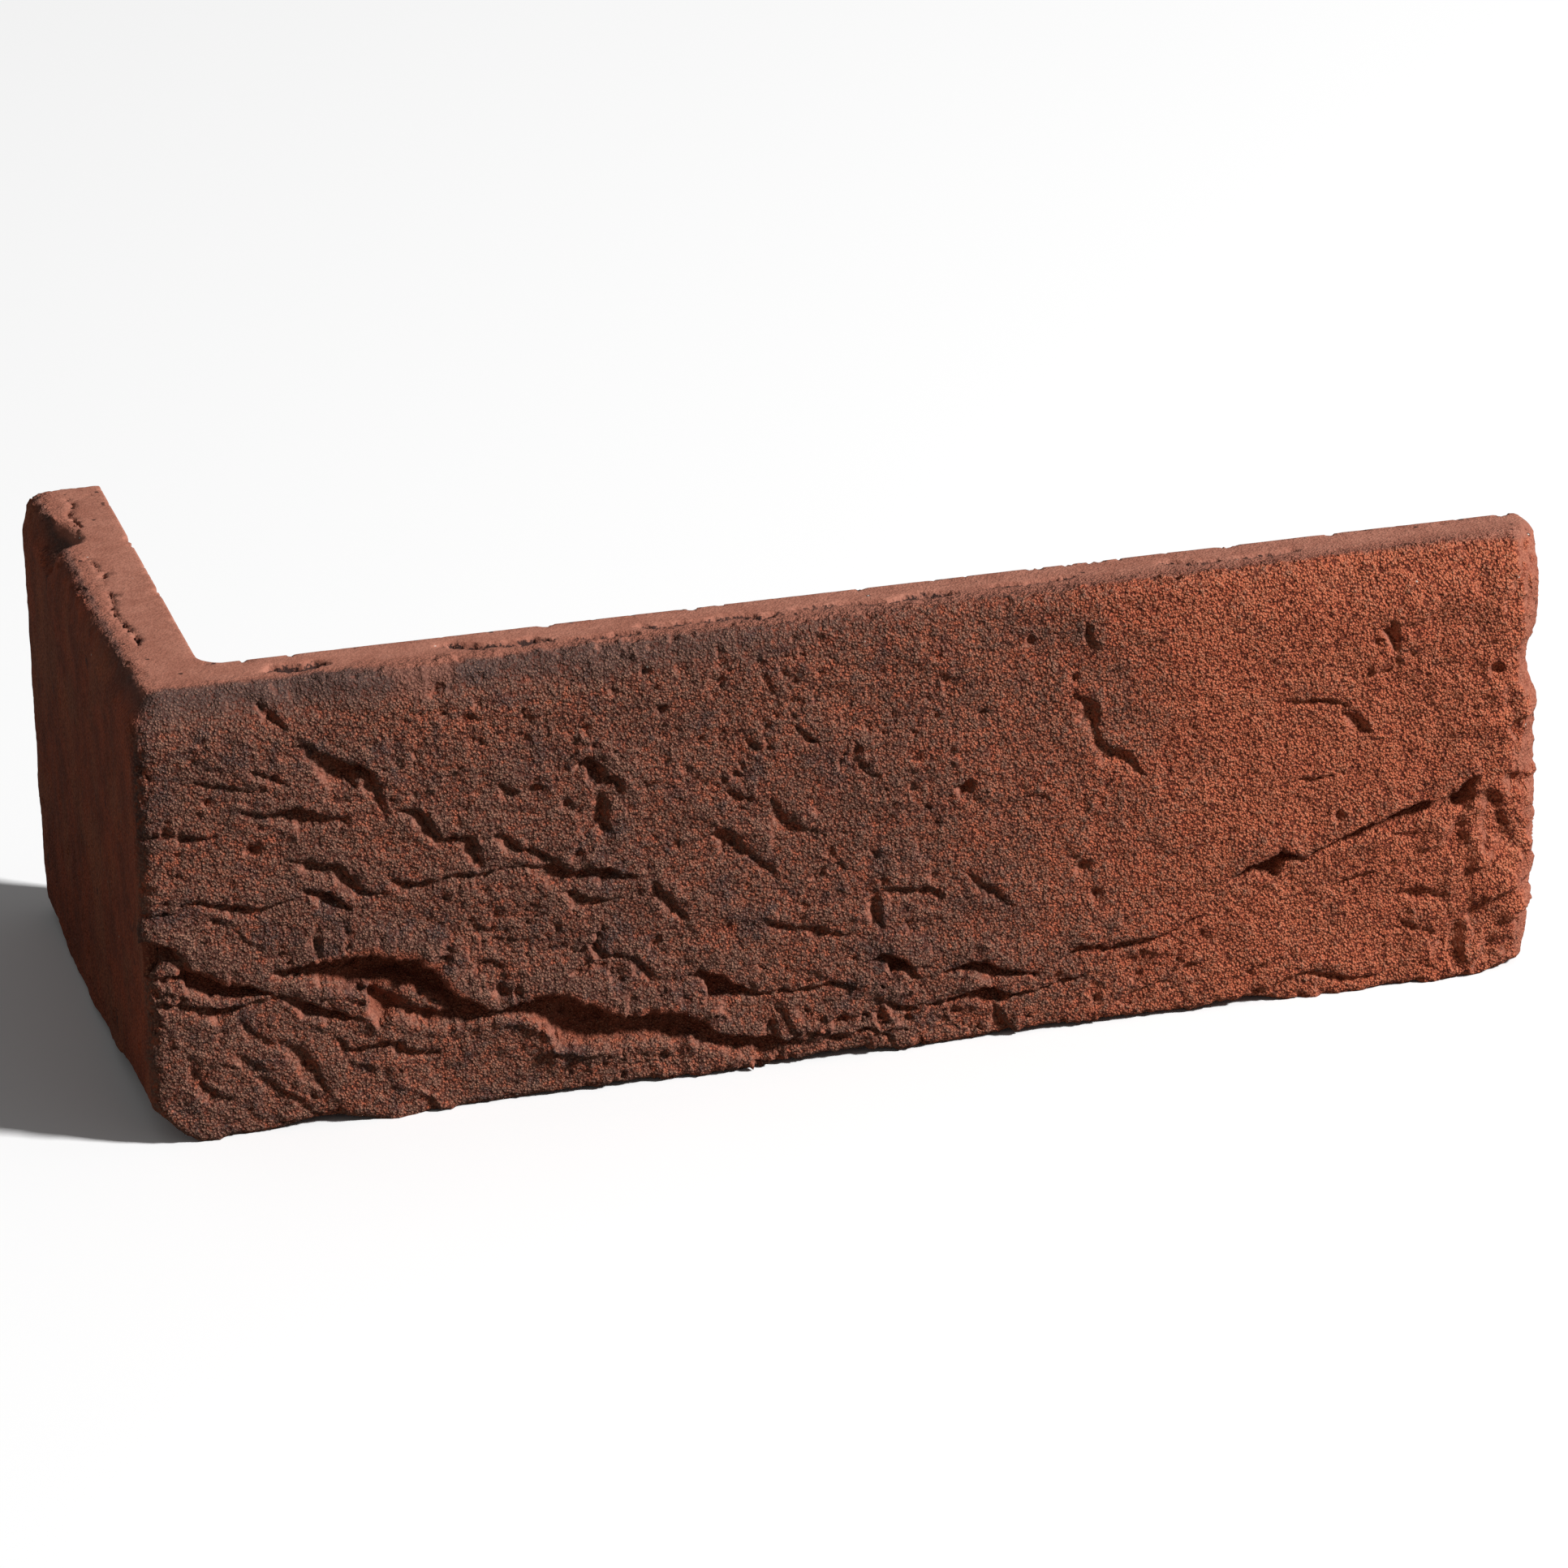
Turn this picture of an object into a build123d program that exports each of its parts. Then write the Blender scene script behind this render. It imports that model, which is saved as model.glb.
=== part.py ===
"""Corner brick slip: a thin L-shaped facing unit with the torn, folded face of a hand-moulded brick.

Frame: X runs along the long leg, the weathered face looks to -Y, the short leg runs to +Y at the -X end,
Z is up and the bed lies on Z = 0. The origin is the middle of the unit's box, on the bed. Millimetres.
"""

import os
from math import pi, sin

from build123d import *

# Overall sizes
long_leg = 200.0
short_leg = 95.0
height = 65.0
thickness = 12.0

# Roundings of the plan outline
outer_corner_radius = 5.0
long_end_radius = 6.0
short_end_radius = 4.0
inner_corner_radius = 4.0

# Rounding of the upper arris, along the outside and over both ends
arris_radius = 1.6

# Every cutter starts this far outside the body
overrun = 3.0

# Lower arris of the face: the mould lifted it in waves, which run out on the bed
face_lift = 2.0
face_lift_depth = 5.0
face_lift_shares = [
    (0.0, 0.6), (0.07, 0.2), (0.115, 0.95), (0.17, 0.2), (0.24, 0.2), (0.31, 0.55), (0.4, 0.4), (0.51, 1.0),
    (0.575, 0.25), (0.62, 0.75), (0.68, 0.5), (0.77, 0.9), (0.82, 0.2), (0.9, 0.25), (1.0, 1.0),
]

# Lower arris of the short leg: broken away at the outer corner and fading along the leg
return_lift = 4.5
return_lift_depth = 6.0
return_lift_shares = [(0.0, 1.0), (0.17, 0.95), (0.38, 0.4), (0.52, 0.2), (0.75, 0.15), (0.85, 0.35), (1.0, 0.5)]

# Upper arris of the face: it wanders back from the face and dies out below
crest_setback = 3.2
crest_drop = 6.0
crest_shares = [
    (0.0, 1.0), (0.1, 0.9), (0.17, 0.2), (0.24, 0.6), (0.36, 0.4), (0.5, 0.25), (0.58, 0.3), (0.68, 0.15),
    (0.8, 0.4), (0.9, 0.85), (1.0, 1.3),
]

# Ends of the legs: hollows in the cut faces, where a share below zero leaves the end flat
long_end_hollow = 2.0
long_end_shares = [(1.1, -0.5), (0.95, -0.3), (0.71, 0.7), (0.52, -0.4), (0.3, -0.3), (0.1, 0.4), (-0.1, 1.4)]
short_end_hollow = 5.0
short_end_shares = [
    (1.1, 1.15), (1.0, 1.0), (0.85, 0.72), (0.7, 0.35), (0.55, -0.1), (0.3, -0.3), (0.12, 0.2), (-0.1, 0.8),
]

# Broken upper arris of the short leg, towards its free end: width on the bed above, height on the outer face
chip_width = 5.0
chip_height = 8.0
chip_shares = [(0.62, 0.08), (0.75, 1.0), (0.85, 0.8), (1.0, 0.85)]

# Clefts: folds in the face, each with a steep lip above and a floor that slopes out below it
cleft_depth = 5.0
cleft_gape = 11.5
cleft_end_share = 0.25
cleft_ceiling_share = 0.08
cleft_root_share = 0.4

# The lips are drawn on a grid laid over the face, counted from the outer corner and from the bed
grid_columns = 200
grid_rows = 65

# Each cleft: gape share, depth share, how far its floor leans to the left instead of down, then its lip on the grid
cleft_shares = [
    # The long tear at the lower left
    (1.0, 1.0, 0.2, [(19, 23.9), (27, 24.6), (35.5, 23.4), (42, 18), (48, 14.3)]),
    (0.7, 0.9, 0.1, [(50, 14.4), (57, 15), (63, 12.3), (71, 10.7), (78, 8)]),
    (0.3, 0.6, 0.1, [(79, 6.5), (85, 5.1), (91, 3.9)]),
    # Lower left, beside and below it
    (0.33, 0.6, 0.2, [(4, 25.2), (8, 24.5), (12, 22.8), (17, 20.9)]),
    (0.22, 0.4, 0.1, [(5, 20.7), (10, 19.9), (15, 19.8), (20, 19.8)]),
    (0.22, 0.42, 0.2, [(20.3, 19.6), (24, 17.6), (28.5, 15.5)]),
    (0.26, 0.3, 0.7, [(19, 13.2), (22, 10.8), (24, 5.8)]),
    # Upper left
    (0.4, 0.42, 0.4, [(22.5, 56), (27, 54.2), (31.5, 52), (34.2, 46)]),
    (0.34, 0.4, 0.1, [(15.5, 47.4), (20, 47.1), (24, 46.6), (29, 45.2)]),
    (0.2, 0.34, 0.3, [(21.5, 39.8), (25.5, 38.6), (29, 36.4), (32.5, 33.6)]),
    (0.2, 0.36, 0.2, [(23.5, 35.2), (26.5, 33.9), (28.4, 32.4)]),
    (0.16, 0.3, 0.0, [(5, 34.6), (10, 34.8), (15, 33.7), (20.5, 34.1)]),
    (0.2, 0.36, 0.4, [(36.5, 45.3), (40.2, 43.4), (42.4, 40.4), (46, 40.1), (47.4, 36.4)]),
    # Middle
    (0.18, 0.32, 0.2, [(48, 39.8), (52, 38.5), (57, 35.9)]),
    (0.2, 0.42, 0.0, [(35, 35), (38.5, 34.5), (44, 34.8), (51, 34.9)]),
    (0.33, 0.42, 0.1, [(54, 35), (58.5, 34), (64, 33.2), (69, 31.2)]),
    (0.36, 0.4, 0.3, [(61.2, 49.2), (64, 48.4), (66.4, 46.4), (67.2, 44.6)]),
    (0.3, 0.32, 0.9, [(64.9, 44), (65.4, 41), (65.6, 38.4)]),
    (0.2, 0.3, 0.1, [(59.6, 30.2), (62.6, 29.2), (66, 28.5)]),
    (0.16, 0.3, 0.6, [(71.6, 30), (73.6, 27.4), (75.4, 24.6)]),
    (0.38, 0.4, 0.4, [(78, 35.6), (82, 36.4), (84.6, 32.8), (88.8, 28.8)]),
    (0.2, 0.32, 0.4, [(88.8, 39.8), (91, 36.4), (96, 33.8)]),
    (0.2, 0.3, 0.9, [(103.3, 23.7), (103.5, 21.4), (104, 19)]),
    (0.17, 0.28, 0.0, [(88, 22), (92.5, 20.7), (98, 18.8)]),
    (0.17, 0.26, 0.0, [(103.5, 24.8), (108, 24.4), (112.4, 22.7)]),
    (0.28, 0.36, 0.6, [(133.3, 49.8), (135.5, 47), (136.2, 43), (139.6, 40.8), (141.6, 37.6)]),
    # Along the foot
    (0.44, 0.58, 0.1, [(76, 15.5), (79.5, 15.1), (84, 12.6), (89, 11.5)]),
    (0.15, 0.4, 0.0, [(88.5, 11.5), (94, 11.7), (100, 10.8)]),
    (0.36, 0.54, 0.2, [(102, 14.2), (105, 14.8), (108.3, 11.4)]),
    (0.22, 0.4, 0.0, [(112.5, 11.3), (117.5, 12), (121, 10.5), (125.5, 9.1)]),
    (0.26, 0.4, 0.0, [(112, 6.9), (117.5, 8.1), (122.4, 6.6), (127, 6.9)]),
    (0.18, 0.4, 0.0, [(130, 11), (133, 12.4), (138.5, 12.3), (143, 12.4), (149, 14.4)]),
    # Right
    (0.44, 0.64, 0.1, [(155, 19.8), (158.4, 21.8), (162, 22.6), (164.9, 21.2)]),
    (0.22, 0.5, 0.0, [(166, 21.6), (173.5, 25), (180.5, 27.3), (187.5, 28.8), (192, 31)]),
    (0.2, 0.34, 0.3, [(172.2, 42.6), (174, 41.4), (175.5, 39.2)]),
    (0.32, 0.38, 0.1, [(180, 14.6), (183.5, 15.1), (188.5, 13.2)]),
    (0.22, 0.3, 0.8, [(189, 26), (190.2, 23), (191, 20.2)]),
    (0.36, 0.4, 0.8, [(189.8, 9.6), (189.6, 6), (190.4, 2.4)]),
    (0.36, 0.44, 0.7, [(192, 28.8), (195.6, 26.6), (197.4, 21.8)]),
]

# Places that the sizes give
corner_x = -long_leg / 2
face_y = -short_leg / 2
inner_x = corner_x + thickness
inner_y = face_y + thickness
end_x = corner_x + long_leg
end_y = face_y + short_leg


def along_long(share):
    return corner_x + share * long_leg


def along_short(share):
    return face_y + share * short_leg


def lift_cutter(stations, places, lift, depth, plane, inward):
    """Wave that rises from the bed at the face and slopes down into the body until it meets the bed."""
    slope = lift / depth
    crest = [(along, share * lift + overrun * slope) for along, share in zip(stations, places)]
    start = crest[0][0]
    stop = crest[-1][0]
    with BuildPart() as cutter:
        with BuildSketch(plane):
            with BuildLine():
                wave = Spline(*crest)
                Polyline(wave @ 1, (stop, -lift), (start, -lift), wave @ 0)
            make_face()
        extrude(amount=depth + thickness, dir=inward - Vector(0, 0, slope))
    return cutter.part


def hollow_cutter(shares, hollow, plane):
    """Shallow hollow in the free end of a leg; local x points out of that end, local y is up."""
    edge = [(-share * hollow, place * height) for place, share in shares]
    with BuildPart() as cutter:
        with BuildSketch(plane):
            with BuildLine():
                wave = Spline(*edge)
                outside = overrun + hollow
                Polyline(wave @ 1, (outside, edge[-1][1]), (outside, edge[0][1]), wave @ 0)
            make_face()
        extrude(amount=thickness + overrun, both=True)
    return cutter.part


def cleft_cutter(gape_share, depth_share, lean, lip_places):
    """Wedge under a lip: widest at the middle of its run, narrow at the root."""
    lip = [(along_long(column / grid_columns), row / grid_rows * height) for column, row in lip_places]
    spans = len(lip) - 1
    bulges = [cleft_end_share + (1 - cleft_end_share) * sin(pi * index / spans) for index in range(spans + 1)]
    drops = [gape_share * cleft_gape * bulge for bulge in bulges]

    def below(share):
        return [(x - lean * share * drop, z - (1 - lean) * share * drop) for (x, z), drop in zip(lip, drops)]

    mouth_sill = below(1)
    root_lip = below(cleft_ceiling_share)
    root_sill = below(cleft_ceiling_share + cleft_root_share)
    depth = depth_share * cleft_depth
    face_plane = Plane.XZ.offset(-face_y)
    with BuildPart() as cutter:
        with BuildSketch(face_plane.offset(depth / 2)):
            Polygon(*lip, *reversed(mouth_sill), align=None)
        with BuildSketch(face_plane.offset(-depth)):
            Polygon(*root_lip, *reversed(root_sill), align=None)
        loft(ruled=True)
    return cutter.part


def chip_cutter():
    """Sloping break along the upper outer arris of the short leg, a chain of triangles joined by flats."""
    with BuildPart() as cutter:
        for place_share, size_share in chip_shares:
            reach = overrun if place_share == chip_shares[-1][0] else 0
            width = size_share * chip_width
            drop = size_share * chip_height
            top = height + overrun
            with BuildSketch(Plane.XZ.offset(-along_short(place_share) - reach)):
                Polygon(
                    (corner_x + width + overrun * chip_width / chip_height, top),
                    (corner_x - overrun, height - drop - overrun * chip_height / chip_width),
                    (corner_x - overrun, top),
                    align=None,
                )
        loft(ruled=True)
    return cutter.part


# Upper arris of the face: the cut leans outwards as it goes down, so it leaves the face below the crest
with BuildPart() as crest_cutter:
    crest_lean = crest_setback / crest_drop
    with BuildSketch(Plane.XY.offset(height + overrun)):
        with BuildLine():
            crest_line = [
                (along_long(place), face_y + share * crest_setback + overrun * crest_lean)
                for place, share in crest_shares
            ]
            crest = Spline(*crest_line)
            outside_y = face_y - crest_setback - overrun
            Polyline(crest @ 1, (end_x, outside_y), (corner_x, outside_y), crest @ 0)
        make_face()
    extrude(amount=crest_drop + overrun + thickness, dir=(0, -crest_lean, -1))

# The slip itself
with BuildPart() as slip:
    with BuildSketch():
        with BuildLine():
            Polyline(
                (corner_x, face_y),
                (end_x, face_y),
                (end_x, inner_y),
                (inner_x, inner_y),
                (inner_x, end_y),
                (corner_x, end_y),
                close=True,
            )
        make_face()
        fillet(vertices().sort_by_distance((corner_x, face_y, 0))[0], outer_corner_radius)
        fillet(vertices().sort_by_distance((end_x, face_y, 0))[0], long_end_radius)
        fillet(vertices().sort_by_distance((corner_x, end_y, 0))[0], short_end_radius)
        fillet(vertices().sort_by_distance((inner_x, inner_y, 0))[0], inner_corner_radius)
    extrude(amount=height)

    # The upper arris is rounded everywhere but on the two bonding faces
    rim = faces().sort_by(Axis.Z)[-1].edges()
    bonding = rim.filter_by(
        lambda edge: edge.center().X > inner_x - arris_radius and edge.center().Y > inner_y - arris_radius
    )
    fillet([edge for edge in rim if edge not in bonding], arris_radius)

    add(crest_cutter.part, mode=Mode.SUBTRACT)
    add(
        lift_cutter(
            [along_long(place) for place, share in face_lift_shares],
            [share for place, share in face_lift_shares],
            face_lift,
            face_lift_depth,
            Plane.XZ.offset(-face_y + overrun),
            Vector(0, 1, 0),
        ),
        mode=Mode.SUBTRACT,
    )
    add(
        lift_cutter(
            [along_short(place) for place, share in return_lift_shares],
            [share for place, share in return_lift_shares],
            return_lift,
            return_lift_depth,
            Plane.YZ.offset(corner_x - overrun),
            Vector(1, 0, 0),
        ),
        mode=Mode.SUBTRACT,
    )
    long_end_plane = Plane(origin=(end_x, face_y, 0), x_dir=(1, 0, 0), z_dir=(0, -1, 0))
    add(hollow_cutter(long_end_shares, long_end_hollow, long_end_plane), mode=Mode.SUBTRACT)
    short_end_plane = Plane(origin=(corner_x, end_y, 0), x_dir=(0, 1, 0), z_dir=(1, 0, 0))
    add(hollow_cutter(short_end_shares, short_end_hollow, short_end_plane), mode=Mode.SUBTRACT)
    add(chip_cutter(), mode=Mode.SUBTRACT)
    for cleft in cleft_shares:
        add(cleft_cutter(*cleft), mode=Mode.SUBTRACT)

slip.part.label = "corner_slip"

os.makedirs("parts", exist_ok=True)
export_step(slip.part, "parts/corner_slip.step")
box = slip.part.bounding_box()
print("solids", len(slip.part.solids()), "valid", slip.part.is_valid, "volume", round(slip.part.volume))
print("box", box.min, box.max)
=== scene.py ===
import bpy
import bmesh
from math import pi, radians
from mathutils import Matrix, Vector


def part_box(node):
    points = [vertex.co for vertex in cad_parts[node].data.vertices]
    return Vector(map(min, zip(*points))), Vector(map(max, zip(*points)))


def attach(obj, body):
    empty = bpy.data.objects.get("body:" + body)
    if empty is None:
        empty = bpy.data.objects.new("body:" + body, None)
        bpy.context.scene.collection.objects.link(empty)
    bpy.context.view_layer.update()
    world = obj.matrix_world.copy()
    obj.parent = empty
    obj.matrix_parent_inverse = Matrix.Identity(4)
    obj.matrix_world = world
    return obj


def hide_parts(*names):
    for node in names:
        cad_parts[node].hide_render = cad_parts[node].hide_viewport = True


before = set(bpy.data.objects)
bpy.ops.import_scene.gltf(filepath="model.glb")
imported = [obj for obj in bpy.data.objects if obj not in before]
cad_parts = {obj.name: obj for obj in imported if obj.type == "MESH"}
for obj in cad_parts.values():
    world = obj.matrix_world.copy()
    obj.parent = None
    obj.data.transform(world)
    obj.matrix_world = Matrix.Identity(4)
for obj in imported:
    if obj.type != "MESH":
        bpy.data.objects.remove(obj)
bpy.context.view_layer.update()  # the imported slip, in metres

slipLow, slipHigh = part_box("corner_slip")
mm = 0.001
longLeg = (slipHigh.x - slipLow.x) / mm
shortLeg = (slipHigh.y - slipLow.y) / mm
slipHeight = (slipHigh.z - slipLow.z) / mm


class Wire:  # a node socket that can stand in a sum
    def __init__(self, tree, socket=None):
        self.tree = tree
        self.socket = socket

    def node(self, kind, settings=None, sockets=None, out=0):
        made = self.tree.nodes.new(kind)
        for name, value in (settings or {}).items():
            if name == "curve":  # float curve: share along and share of the height
                points = made.mapping.curves[0].points
                for number, (across, up) in enumerate(value):
                    point = points[number] if number < 2 else points.new(across, up)
                    point.location = (across, up)
                made.mapping.update()
            else:
                setattr(made, name, value)
        for name, value in (sockets or {}).items():
            socket = made.inputs[name]
            if isinstance(value, Wire):
                self.tree.links.new(value.socket, socket)
            elif socket.type == "VECTOR" and isinstance(value, (int, float)):
                socket.default_value = (value, value, value)
            else:
                socket.default_value = value
        return Wire(self.tree, made.outputs[out] if len(made.outputs) else None)

    def other(self, out):  # another output of the same node
        return Wire(self.tree, self.socket.node.outputs[out])

    def join(self, operation, *terms, out=0):
        def isVector(term):
            return isinstance(term, (tuple, Vector)) or isinstance(term, Wire) and term.socket.type == "VECTOR"
        kind = "ShaderNodeVectorMath" if any(isVector(term) for term in terms) else "ShaderNodeMath"
        return self.node(kind, {"operation": operation}, dict(enumerate(terms)), out)

    def __add__(self, term):
        return self.join("ADD", self, term)

    def __radd__(self, term):
        return self.join("ADD", term, self)

    def __sub__(self, term):
        return self.join("SUBTRACT", self, term)

    def __rsub__(self, term):
        return self.join("SUBTRACT", term, self)

    def __mul__(self, term):
        return self.join("MULTIPLY", self, term)

    def __truediv__(self, term):
        return self.join("DIVIDE", self, term)

    def __pow__(self, term):
        return self.join("POWER", self, term)

    def atLeast(self, term):
        return self.join("MAXIMUM", self, term)

    def atMost(self, term):
        return self.join("MINIMUM", self, term)

    def dot(self, term):
        return self.join("DOT_PRODUCT", self, term, out=1)

    def length(self):
        return self.join("LENGTH", self, out=1)

    def smooth(self, low, high):  # 0 at low, 1 at high, eased
        return self.node("ShaderNodeMapRange", {"interpolation_type": "SMOOTHSTEP"},
                         {"Value": self, "From Min": low, "From Max": high})

    def fade(self, reach):  # 1 at zero, 0 from reach on
        return self.smooth(reach, 0.0)

    def noise(self, size, detail, roughness, out=0):  # around 0.5, size in the units of self
        return self.node("ShaderNodeTexNoise", None,
                         {"Vector": self, "Scale": 1 / size, "Detail": detail, "Roughness": roughness}, out)

    def spots(self, size, detail, roughness, low, high):  # patches of noise
        return self.noise(size, detail, roughness).smooth(low, high)

    def cells(self, size):
        return self.node("ShaderNodeTexVoronoi", None, {"Vector": self, "Scale": 1 / size})

    def follow(self, points):  # drawn curve over 0 to 1
        return self.node("ShaderNodeFloatCurve", {"curve": points}, {"Value": self})

    def mix(self, first, second):  # self is the factor, first and second are colours
        return self.node("ShaderNodeMix", {"data_type": "RGBA"}, {0: self, 6: first, 7: second}, 2)

    def parts(self):
        x = self.node("ShaderNodeSeparateXYZ", None, {0: self})
        return x, x.other(1), x.other(2)


def blankNodes(owner):  # a pen for the emptied nodes of a material or world
    owner.use_nodes = True
    owner.node_tree.nodes.clear()
    return Wire(owner.node_tree)


def setUp(name, data):
    thing = bpy.data.objects.new(name, data)
    bpy.context.collection.objects.link(thing)
    return thing


def tone(red, green, blue):  # display colour 0 to 255, as the linear colour that Blender takes
    def linear(value):
        value = value / 255
        return value / 12.92 if value <= 0.04045 else ((value + 0.055) / 1.055) ** 2.4
    return (linear(red), linear(green), linear(blue), 1.0)


def pickEdges(piece, test):  # edit mode: select only the edges whose middle passes the test
    bpy.ops.mesh.select_mode(type="EDGE")
    bpy.ops.mesh.select_all(action="DESELECT")
    mesh = bmesh.from_edit_mesh(piece.data)
    for edge in mesh.edges:
        ends = [vertex.co / mm for vertex in edge.verts]
        edge.select_set(test(*ends))
    bmesh.update_edit_mesh(piece.data)


def applyModifier(piece, name):
    bpy.ops.object.select_all(action="DESELECT")
    bpy.context.view_layer.objects.active = piece
    piece.select_set(True)
    bpy.ops.object.modifier_apply(modifier=name)


# the plain cast block, in millimetres
block = {
    "thickness": 12.0,
    "outerCorner": 2.2,
    "longEnd": 6.0,
    "shortEnd": 4.0,
    "innerCorner": 4.0,
    "upperArris": 1.8,
    "lowerArris": 0.8,
    "cornerSteps": 6,
    "arrisSteps": 4,
    "close": 0.01,  # points no farther apart than this are the same
    "grid": 0.36,  # spacing of the mesh that the relief is worked into
}
cornerX = slipLow.x / mm
faceY = slipLow.y / mm
endX = slipHigh.x / mm
endY = slipHigh.y / mm
innerX = cornerX + block["thickness"]
innerY = faceY + block["thickness"]


def fromCorner(place):  # along the face, back from it and up, millimetres
    x, y, z = place.parts()
    return x - cornerX, y - faceY, z


def near(first, second):
    return abs(first - second) < block["close"]


def castBlock():
    bpy.ops.object.select_all(action="DESELECT")
    bpy.ops.mesh.primitive_cube_add(size=1, location=(0, (faceY + innerY) / 2 * mm, slipHeight / 2 * mm))
    piece = bpy.context.object
    piece.name = "weatheredSlip"
    piece.scale = (longLeg * mm, block["thickness"] * mm, slipHeight * mm)
    bpy.ops.object.transform_apply(location=True, rotation=True, scale=True)
    bpy.ops.object.mode_set(mode="EDIT")
    bpy.ops.mesh.select_all(action="SELECT")
    bpy.ops.mesh.bisect(plane_co=(innerX * mm, 0, 0), plane_no=(1, 0, 0))  # marks off the foot of the short leg
    bpy.ops.mesh.select_mode(type="FACE")
    bpy.ops.mesh.select_all(action="DESELECT")
    mesh = bmesh.from_edit_mesh(piece.data)
    for face in mesh.faces:
        face.select_set(face.normal.y > 0.9 and face.calc_center_median().x < innerX * mm)
    bmesh.update_edit_mesh(piece.data)
    bpy.ops.mesh.extrude_region_move(
        TRANSFORM_OT_translate={"value": (0, (shortLeg - block["thickness"]) * mm, 0)})

    def upright(x, y):
        return lambda a, b: all(near(p.x, x) and near(p.y, y) for p in (a, b))
    roundings = ((cornerX, faceY, "outerCorner"), (endX, faceY, "longEnd"),
                 (cornerX, endY, "shortEnd"), (innerX, innerY, "innerCorner"))
    for x, y, name in roundings:
        pickEdges(piece, upright(x, y))
        bpy.ops.mesh.bevel(offset=block[name] * mm, segments=block["cornerSteps"], affect="EDGES")

    def outerRim(level):  # a bed's edges, but not along the bonding faces
        def test(a, b):
            bonding = all(min(p.x - innerX, p.y - innerY) > -block["close"] for p in (a, b))
            across = near(a.x, innerX) and near(b.x, innerX) and (a.y + b.y) / 2 < innerY
            return near(a.z, level) and near(b.z, level) and not bonding and not across
        return test
    for level, name in ((slipHeight, "upperArris"), (0, "lowerArris")):
        pickEdges(piece, outerRim(level))
        bpy.ops.mesh.bevel(offset=block[name] * mm, segments=block["arrisSteps"], affect="EDGES")
    bpy.ops.object.mode_set(mode="OBJECT")
    grid = piece.modifiers.new("grid", "REMESH")
    grid.mode = "VOXEL"
    grid.voxel_size = block["grid"] * mm
    applyModifier(piece, "grid")
    return piece


# lines drawn along the block's edges: share along, share of the height; and how far in they reach, millimetres
edges = {
    "faceLift": 1.2,
    "faceLiftLine": [(0, 0.6), (0.07, 0.05), (0.12, 0.95), (0.17, 0.1), (0.24, 0.1), (0.31, 0.5), (0.4, 0.35),
                     (0.5, 1.0), (0.575, 0.1), (0.62, 0.75), (0.68, 0.5), (0.745, 0.6), (0.77, 0.95), (0.82, 0.1),
                     (0.9, 0.1), (1, 0.9)],
    "faceLiftReach": 6.0,
    "returnLift": 4.5,
    "returnLiftLine": [(0, 1.0), (0.17, 0.95), (0.27, 0.66), (0.38, 0.4), (0.52, 0.2), (0.75, 0.05), (0.85, 0.35),
                       (1, 0.5)],
    "returnLiftReach": 9.0,
    "returnLiftSide": 7.0,
    "crest": 4.0,
    "crestLine": [(0, 1.0), (0.06, 0.75), (0.105, 0.75), (0.17, 0.1), (0.24, 0.45), (0.36, 0.3), (0.5, 0.18),
                  (0.58, 0.22), (0.65, 0.02), (0.71, 0.0), (0.8, 0.25), (0.9, 0.6), (0.95, 0.75), (1, 1.0)],
    "crestReach": 8.0,
    "crestBack": 10.0,
    "chip": 5.0,
    "chipLine": [(0, 0.4), (0.2, 0.3), (0.4, 0.1), (0.6, 0.12), (0.67, 0.1), (0.71, 0.8), (0.75, 0.95), (0.81, 0.5),
                 (0.87, 0.25), (0.93, 0.15), (1, 0.2)],
    "chipDrop": (5.2, 1.6),
    "chipReach": 9.0,
    "crumbs": (4.0, 3.0, 0.6),  # of the chip's edge: noise size, detail and roughness
    "crumbHeight": 3.0,
    "crumbReach": 4.0,
    "crumbsFrom": (4.0, 10.0),
    "longEnd": 3.5,
    "longEndLine": [(0, 0.89), (0.08, 0.44), (0.25, 0.29), (0.4, 0.32), (0.55, 0.26), (0.62, 0.47), (0.71, 0.5),
                    (0.8, 0.02), (0.9, 0.0), (1, 0.0)],
    "longEndBulge": 2.2,
    "longEndReach": 9.0,
    "shortEnd": 5.0,
    "shortEndLine": [(0, 0.55), (0.12, 0.15), (0.3, 0.0), (0.45, 0.0), (0.6, 0.06), (0.72, 0.18), (0.88, 0.3),
                     (1, 0.4)],
    "shortEndReach": 12.0,
}
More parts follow.
